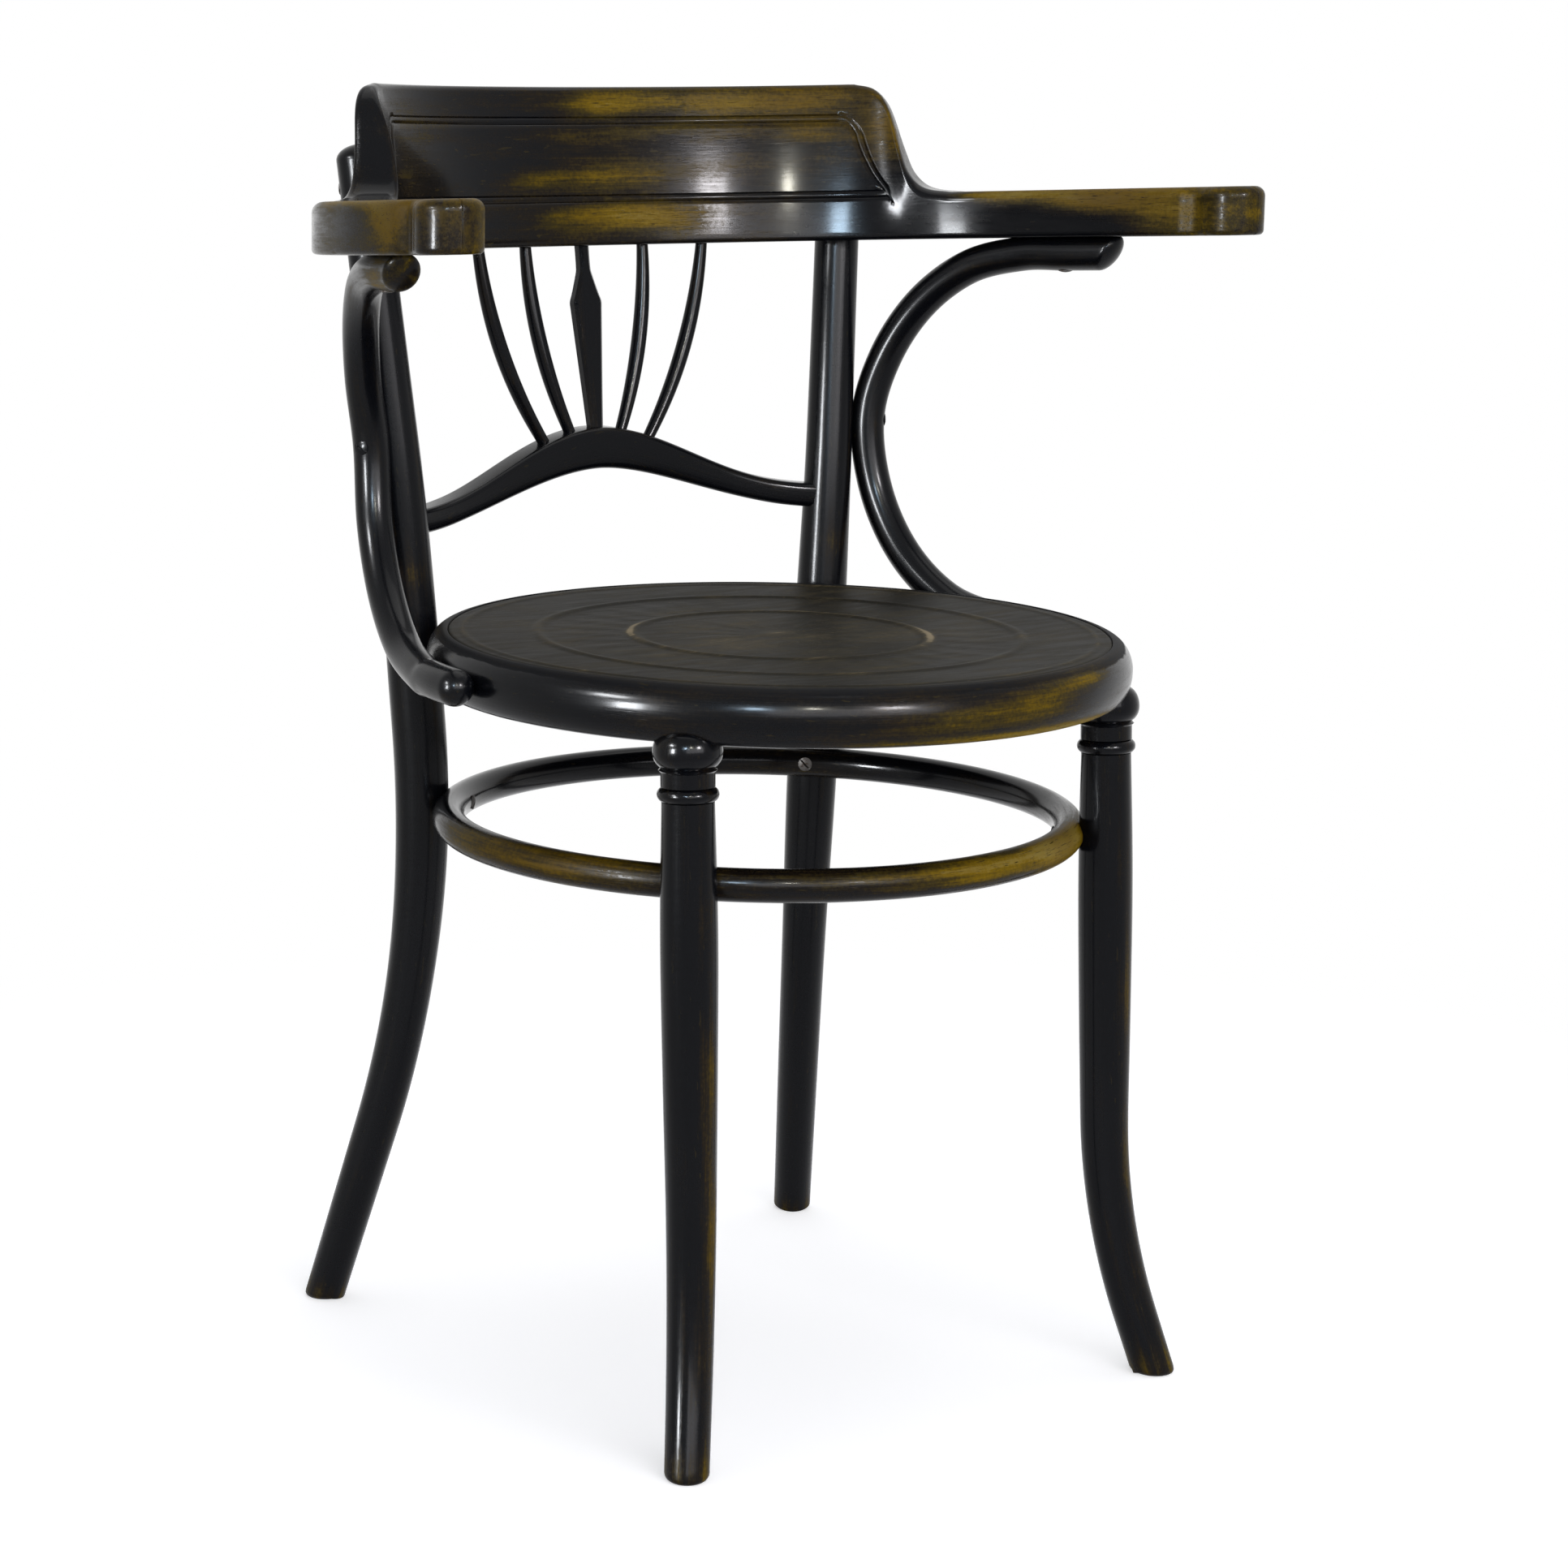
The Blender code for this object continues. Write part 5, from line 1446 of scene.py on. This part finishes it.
def support_contact():
    """Centre of the rod beside the left stile, and the direction from the stile to it."""
    stile = rear_leg_path(LEFT).at_height(SUPPORT_CONTACT_HEIGHT)
    away = Vector((math.cos(SUPPORT_CONTACT_ANGLE), -math.sin(SUPPORT_CONTACT_ANGLE), 0.0))
    reach = rear_leg_radius(SUPPORT_CONTACT_HEIGHT) + SUPPORT_RADIUS - SUPPORT_HOUSING
    return stile + away * reach, away


def support_on_seat(turn):
    """Centre of the rod beside the seat ring, at a turn from the chair's back."""
    reach = SEAT_RADIUS + SUPPORT_RADIUS - SUPPORT_HOUSING
    level = SEAT_MIDDLE + SUPPORT_SEAT_LIFT
    return Vector((reach * math.sin(turn), reach * math.cos(turn), level))


def support_path(side):
    """The support's line: under the arm, in a bow back to the stile, then down and along the seat."""
    tip = support_under_arm(SUPPORT_TIP_SET)
    leave = support_under_arm(SUPPORT_LEAVES_ARM)
    contact = support_contact()[0]
    ahead = (leave - support_under_arm(SUPPORT_LEAVES_ARM + 0.01)).normalized()
    upper_corner = leave + ahead * SUPPORT_ARM_BEND_REACH
    reach = math.hypot(contact.x, contact.y)
    seat_reach = support_on_seat(0.0).y
    touch = math.atan2(contact.x, contact.y) + math.acos(seat_reach / reach)
    landing = support_on_seat(touch)
    lower_corner = Vector((contact.x, contact.y, landing.z))
    points = [tip, (tip + leave) / 2]
    points += quarter(leave, upper_corner, contact)
    points += quarter(contact, lower_corner, landing)[1:]
    for turn in spread(touch, SUPPORT_END_ANGLE, 3)[1:]:
        points.append(support_on_seat(turn))
    return Path([mirrored(side, point) for point in smooth_line(points, 12)])


def support_shape(side):
    path = support_path(side)
    size = SUPPORT_RADIUS
    stations = dome(0.0, size, size * 0.6, -1)
    stations += [(distance, size) for distance in spread(0.0, path.length, 200)]
    stations += dome(path.length, size, size, 1)
    shape = rod(path, stations, ACROSS, ROD_SIDES)
    # The end under the arm is cut at a slant
    tip, forward = path.points[0], (path.points[0] - path.points[3]).normalized()
    for vert in shape.verts:
        near = 1 + (vert.co - tip).dot(forward) / (2 * size)
        if near > 0 and (vert.co - tip).length < 4 * size:
            vert.co += forward * (vert.co.z - tip.z) * SUPPORT_TIP_SLANT * min(near, 1.0)
    return shape


# Fasteners


def aimed(shape, point, direction):
    """Turns an upright shape so that its -Z runs along a direction, from a point."""
    turn = (-UP).rotation_difference(direction).to_matrix().to_4x4()
    bmesh.ops.transform(shape, matrix=Matrix.Translation(point) @ turn, verts=shape.verts[:])
    return shape


def screw_shape(point, direction, length):
    """A slotted wood screw: a turned shape whose slot is two cuts, sunk between them."""
    head = SCREW_HEAD_RADIUS
    shank = SCREW_SHANK_RADIUS
    profile = button(head, SCREW_HEAD_CROWN) + [
        (head, -SCREW_HEAD_EDGE),
        (shank, -SCREW_HEAD_HEIGHT - SCREW_HEAD_EDGE),
        (shank, -length * 0.8),
        (shank * 0.5, -length),
        (0.0, -length),
    ]
    shape = spin(profile, SCREW_SIDES)
    for edge in (-SCREW_SLOT_WIDTH / 2, SCREW_SLOT_WIDTH / 2):
        for offset in (0.0, SLOT_WALL):
            bmesh.ops.bisect_plane(
                shape,
                geom=everything(shape),
                plane_co=(edge + math.copysign(offset, edge), 0.0, 0.0),
                plane_no=(1.0, 0.0, 0.0),
            )
    for vert in shape.verts:
        if abs(vert.co.x) < SCREW_SLOT_WIDTH / 2 + 0.00001 and vert.co.z > -SCREW_HEAD_EDGE / 2:
            vert.co.z = SCREW_HEAD_CROWN - SCREW_SLOT_DEPTH
    return aimed(shape, point, direction)


def stretcher_screws():
    """(leg name, point, direction) of each screw through the stretcher."""
    radius, middle = stretcher_ring()
    places = []
    for side in (RIGHT, LEFT):
        for end, path in (("front", front_leg_path(side)), ("rear", rear_leg_path(side))):
            leg = path.at_height(STRETCHER_HEIGHT)
            outward = Vector((leg.x, leg.y - middle, 0.0)).normalized()
            point = Vector((0.0, middle, STRETCHER_HEIGHT)) + outward * (radius - STRETCHER_RADIUS)
            places.append((f"{end}_{SIDE_NAMES[side]}", point, outward))
    return places


def support_screw_place(side):
    contact, away = support_contact()
    return mirrored(side, contact + away * SUPPORT_RADIUS), mirrored(side, -away)


def arm_screw_place(side):
    centre = support_under_arm((SUPPORT_TIP_SET + SUPPORT_LEAVES_ARM) / 2)
    return mirrored(side, centre - UP * SUPPORT_RADIUS), UP


def crest_screw_place(side):
    height = BOW_HEIGHT + STILE_OVERLAP * CREST_SCREW_SHARE
    stile = rear_leg_path(LEFT).at_height(height)
    outward = Vector((1.0, 1.0, 0.0)).normalized()
    return mirrored(side, stile + outward * rear_leg_radius(height)), mirrored(side, -outward)


def seat_screw_place(side):
    turn = SUPPORT_END_ANGLE - SUPPORT_SCREW_TURN
    outward = Vector((math.sin(turn), math.cos(turn), 0.0))
    point = outward * (SEAT_RADIUS - SEAT_RING_WIDTH) + UP * (SEAT_MIDDLE + SUPPORT_SEAT_LIFT)
    return mirrored(side, point), mirrored(side, outward)


def seat_bolt_shape(side):
    """A bolt through the rear leg and the seat ring."""
    leg = rear_leg_seat_point(side)
    outward = Vector((leg.x, leg.y, 0.0)).normalized()
    point = leg + outward * rear_leg_radius(SEAT_MIDDLE)
    length = 2 * rear_leg_radius(SEAT_MIDDLE) - REAR_LEG_HOUSING + SEAT_RING_WIDTH + BOLT_TAIL
    head = BOLT_HEAD_RADIUS
    profile = button(head, BOLT_HEAD_HEIGHT * 0.6) + [
        (head, -BOLT_HEAD_HEIGHT * 0.4),
        (BOLT_RADIUS, -BOLT_HEAD_HEIGHT * 0.4),
        (BOLT_RADIUS, -length),
        (0.0, -length),
    ]
    return aimed(spin(profile, SCREW_SIDES), point, -outward)


# Assembly


def make_wood():
    """Every wooden piece, in the lacquer of its own shine."""
    black = rubbed_lacquer("black_lacquer")
    dulled = rubbed_lacquer("dulled_lacquer", polish=0.29)
    bow_finish = rubbed_lacquer("rubbed_lacquer", streaks=0.38, clouds=0.85, polish=0.20)
    panel_finish = pressed_panel("pressed_plywood")
    seat_finish = rubbed_lacquer("seat_lacquer", streaks=0.6, polish=0.24, satin_top=True)

    wear = ring_wear(SEAT_WEAR, SEAT_RADIUS, 0.0, SEAT_UNDERSIDE, 0.08)
    place_piece("seat_ring", seat_ring_shape(), seat_finish, wear)
    place_piece("seat_panel", seat_panel_shape(), panel_finish, panel_wear)
    wear = ring_wear(STRETCHER_WEAR, *stretcher_ring(), STRETCHER_HEIGHT, 0.06)
    place_piece("stretcher_ring", stretcher_shape(), black, wear)
    shape = bow_shape()
    place_piece("arm_bow", shape, bow_finish, bow_wear(shape), 60.0)
    shape = rail_shape()
    place_piece("cross_rail", shape, black, painted(shape, RAIL_WEAR, 0.02))
    shape = lance_shape()
    place_piece("lance_splat", shape, black, painted(shape, (), 0.0), 20.0)

    for side in (RIGHT, LEFT):
        name = SIDE_NAMES[side]
        path = front_leg_path(side)
        shape = rod(path, front_leg_stations(path), ACROSS, LEG_SIDES)
        stand_on_floor(shape)
        patches = FRONT_LEFT_WEAR if side == LEFT else FRONT_RIGHT_WEAR
        place_piece(f"front_leg_{name}", shape, black, painted(shape, patches, 0.01))

        path = rear_leg_path(side)
        shape = rod(path, rear_leg_stations(path), ACROSS, LEG_SIDES)
        stand_on_floor(shape)
        place_piece(f"rear_leg_{name}", shape, dulled, painted(shape, REAR_WEAR, 0.01))

        shape = support_shape(side)
        patches = SUPPORT_LEFT_WEAR if side == LEFT else SUPPORT_RIGHT_WEAR
        place_piece(f"arm_support_{name}", shape, dulled, painted(shape, patches, 0.01))
        for index, kind in enumerate(("outer", "inner")):
            shape = spindle_shape(side, index)
            place_piece(f"spindle_{kind}_{name}", shape, black, painted(shape, SPINDLE_WEAR, 0.0))


def make_fasteners():
    """Screws and bolts of old steel; the screws beside the stiles are lacquered over."""
    steel = old_steel("aged_steel")
    for side in (RIGHT, LEFT):
        name = SIDE_NAMES[side]
        screws = (
            ("support_screw", support_screw_place(side), SUPPORT_SCREW_LENGTH),
            ("arm_screw", arm_screw_place(side), ARM_SCREW_LENGTH),
            ("crest_screw", crest_screw_place(side), CREST_SCREW_LENGTH),
            ("seat_screw", seat_screw_place(side), SEAT_SCREW_LENGTH),
        )
        for kind, place, length in screws:
            finish = "dulled_lacquer" if kind == "support_screw" else steel
            place_piece(f"{kind}_{name}", screw_shape(*place, length), finish, smooth=30.0)
        place_piece(f"seat_bolt_{name}", seat_bolt_shape(side), steel, smooth=30.0)
        for kind in ("seat_washer", "seat_nut"):
            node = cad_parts[f"{kind}_{name}"]
            node.data.materials.clear()
            node.data.materials.append(bpy.data.materials[steel])
    for name, point, outward in stretcher_screws():
        shape = screw_shape(point, outward, STRETCHER_SCREW_LENGTH)
        place_piece(f"stretcher_screw_{name}", shape, steel, smooth=30.0)


# Studio

SEEN_BY_CAMERA = ("Is Camera Ray", "Is Glossy Ray", "Is Transmission Ray")
WHITE = (1.0, 1.0, 1.0, 1.0)
FLOOR_SIZE = 3.2
FLOOR_CLEAR = 1.1
FLOOR_GLOW = 0.50
FLOOR_SHADE = (0.80, 0.80, 0.80, 1.0)
ROOM_SHADE = (0.42, 0.43, 0.46, 1.0)
LENS_WIDTH = 36.0
LENS_REACH = 50.0


def show(name, content):
    """Puts a mesh, lamp or camera in the scene as an object."""
    thing = bpy.data.objects.new(name, content)
    bpy.context.scene.collection.objects.link(thing)
    return thing


def seen(graph):
    """1 for rays from the camera and for those that carry reflections and refractions."""
    path = graph.tree.nodes.new("ShaderNodeLightPath")
    camera, glossy, through = (Field(graph, path.outputs[name]) for name in SEEN_BY_CAMERA)
    return camera.most(glossy).most(through)


def make_floor():
    """A pale floor that keeps the chair's shadow and fades into the white around it."""
    shape = bmesh.new()
    bmesh.ops.create_circle(shape, cap_ends=True, radius=FLOOR_SIZE, segments=96)
    mesh = bpy.data.meshes.new("floor")
    shape.to_mesh(mesh)
    shape.free()
    floor = show("floor", mesh)

    graph = Graph("pale_floor")
    place = graph.node("ShaderNodeTexCoord", output="Object")
    reach = graph.node("ShaderNodeVectorMath", {"operation": "LENGTH"}, {0: place}, "Value")
    paper = graph.noise(place, 90.0, 3.0, 0.5)
    graph.surface(Base_Color=FLOOR_SHADE, Roughness=0.85 + paper * 0.1, Specular_IOR_Level=0.0)
    plain = Field(graph, graph.shader.outputs[0])
    glow = graph.node("ShaderNodeEmission", links={"Color": WHITE, "Strength": 1.0})
    lit = graph.node("ShaderNodeEmission", links={"Color": WHITE, "Strength": FLOOR_GLOW})
    shadowed = graph.node("ShaderNodeAddShader", links={0: plain, 1: lit})
    fade = reach.step(FLOOR_CLEAR * 0.5, FLOOR_CLEAR)
    white = graph.node("ShaderNodeMixShader", links={0: fade, 1: shadowed, 2: glow})
    result = graph.node("ShaderNodeMixShader", links={0: seen(graph), 1: plain, 2: white})
    graph.feed(graph.tree.nodes["Material Output"].inputs["Surface"], result)
    mesh.materials.append(graph.material)
    floor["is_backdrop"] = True


class WorldGraph(Graph):
    """The world's nodes."""

    def __init__(self, world):
        self.tree = world.node_tree


def make_world():
    """A soft room light, and plain white where the camera or a reflection sees it."""
    world = bpy.data.worlds.new("studio")
    world.use_nodes = True
    bpy.context.scene.world = world
    graph = WorldGraph(world)
    shade = graph.tree.nodes["Background"]
    graph.feed(shade.inputs["Color"], graph.mix(seen(graph), ROOM_SHADE, WHITE))


# Name, direction from the chair, distance, width, height, brightness and colour
LAMPS = (
    ("key_softbox", (-0.201, -0.944, 0.259), 3.0, 3.00, 1.00, 7.0, (0.97, 0.96, 1.0)),
    ("ceiling_softbox", (0.15, 0.10, 1.0), 2.2, 2.00, 2.00, 1.4, (1.0, 0.99, 0.97)),
)
# Bright panes that show only as reflections in the gloss, as a room's windows would
PANES = (
    ("front_pane", (0.032, -0.916, 0.400), 3.06, 0.46, 0.36, 190.0, (1.0, 0.97, 1.0)),
    ("left_pane", (-0.975, -0.160, 0.134), 2.46, 0.36, 0.62, 210.0, (0.93, 0.96, 1.0)),
    ("high_left_pane", (-0.887, 0.011, 0.462), 2.70, 0.50, 0.30, 170.0, (0.95, 0.97, 1.0)),
    ("high_pane", (-0.620, -0.688, 0.378), 2.38, 0.24, 0.24, 190.0, (0.60, 0.80, 1.0)),
    ("small_pane", (-0.365, -0.820, 0.441), 2.90, 0.11, 0.11, 700.0, (1.0, 0.97, 0.84)),
)
LAMP_TARGET = Vector((0.0, 0.05, 0.45))


def make_lamps():
    """Soft lamps all round, and the panes, which light no surface and show only in its gloss."""
    for name, direction, distance, width, height, brightness, colour in LAMPS + PANES:
        lamp = bpy.data.lights.new(name, "AREA")
        lamp.shape = "RECTANGLE"
        lamp.size = width
        lamp.size_y = height
        lamp.energy = brightness * math.pi * width * height
        lamp.color = colour
        carrier = show(name, lamp)
        away = Vector(direction).normalized()
        carrier.location = LAMP_TARGET + away * distance
        carrier.rotation_euler = away.to_track_quat("Z", "Y").to_euler()
    for name, *_ in PANES:
        bpy.data.objects[name].visible_diffuse = False


def make_camera():
    """A camera at the photograph's viewpoint."""
    az, el, roll = CAMERA_AZIMUTH, CAMERA_ELEVATION, CAMERA_ROLL
    ahead = Vector((-math.sin(az) * math.cos(el), math.cos(az) * math.cos(el), -math.sin(el)))
    level = Vector((math.cos(az), math.sin(az), 0.0))
    upright = level.cross(ahead)
    right = level * math.cos(roll) + upright * math.sin(roll)
    up = upright * math.cos(roll) - level * math.sin(roll)
    lens = bpy.data.cameras.new("camera")
    lens.lens = CAMERA_LENS
    lens.sensor_width = LENS_WIDTH
    lens.clip_end = LENS_REACH
    camera = show("camera", lens)
    turn = Matrix((right, up, -ahead)).transposed().to_4x4()
    camera.matrix_world = Matrix.Translation(CAMERA_PLACE) @ turn
    bpy.context.scene.camera = camera


make_camera()
make_lamps()
make_world()
make_floor()
make_wood()
make_fasteners()
bpy.context.scene.view_settings.view_transform = "Standard"

boxes = {"cad": CAD_BOX, "visual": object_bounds()}
{name: [list(corner) for corner in box] for name, box in boxes.items()}
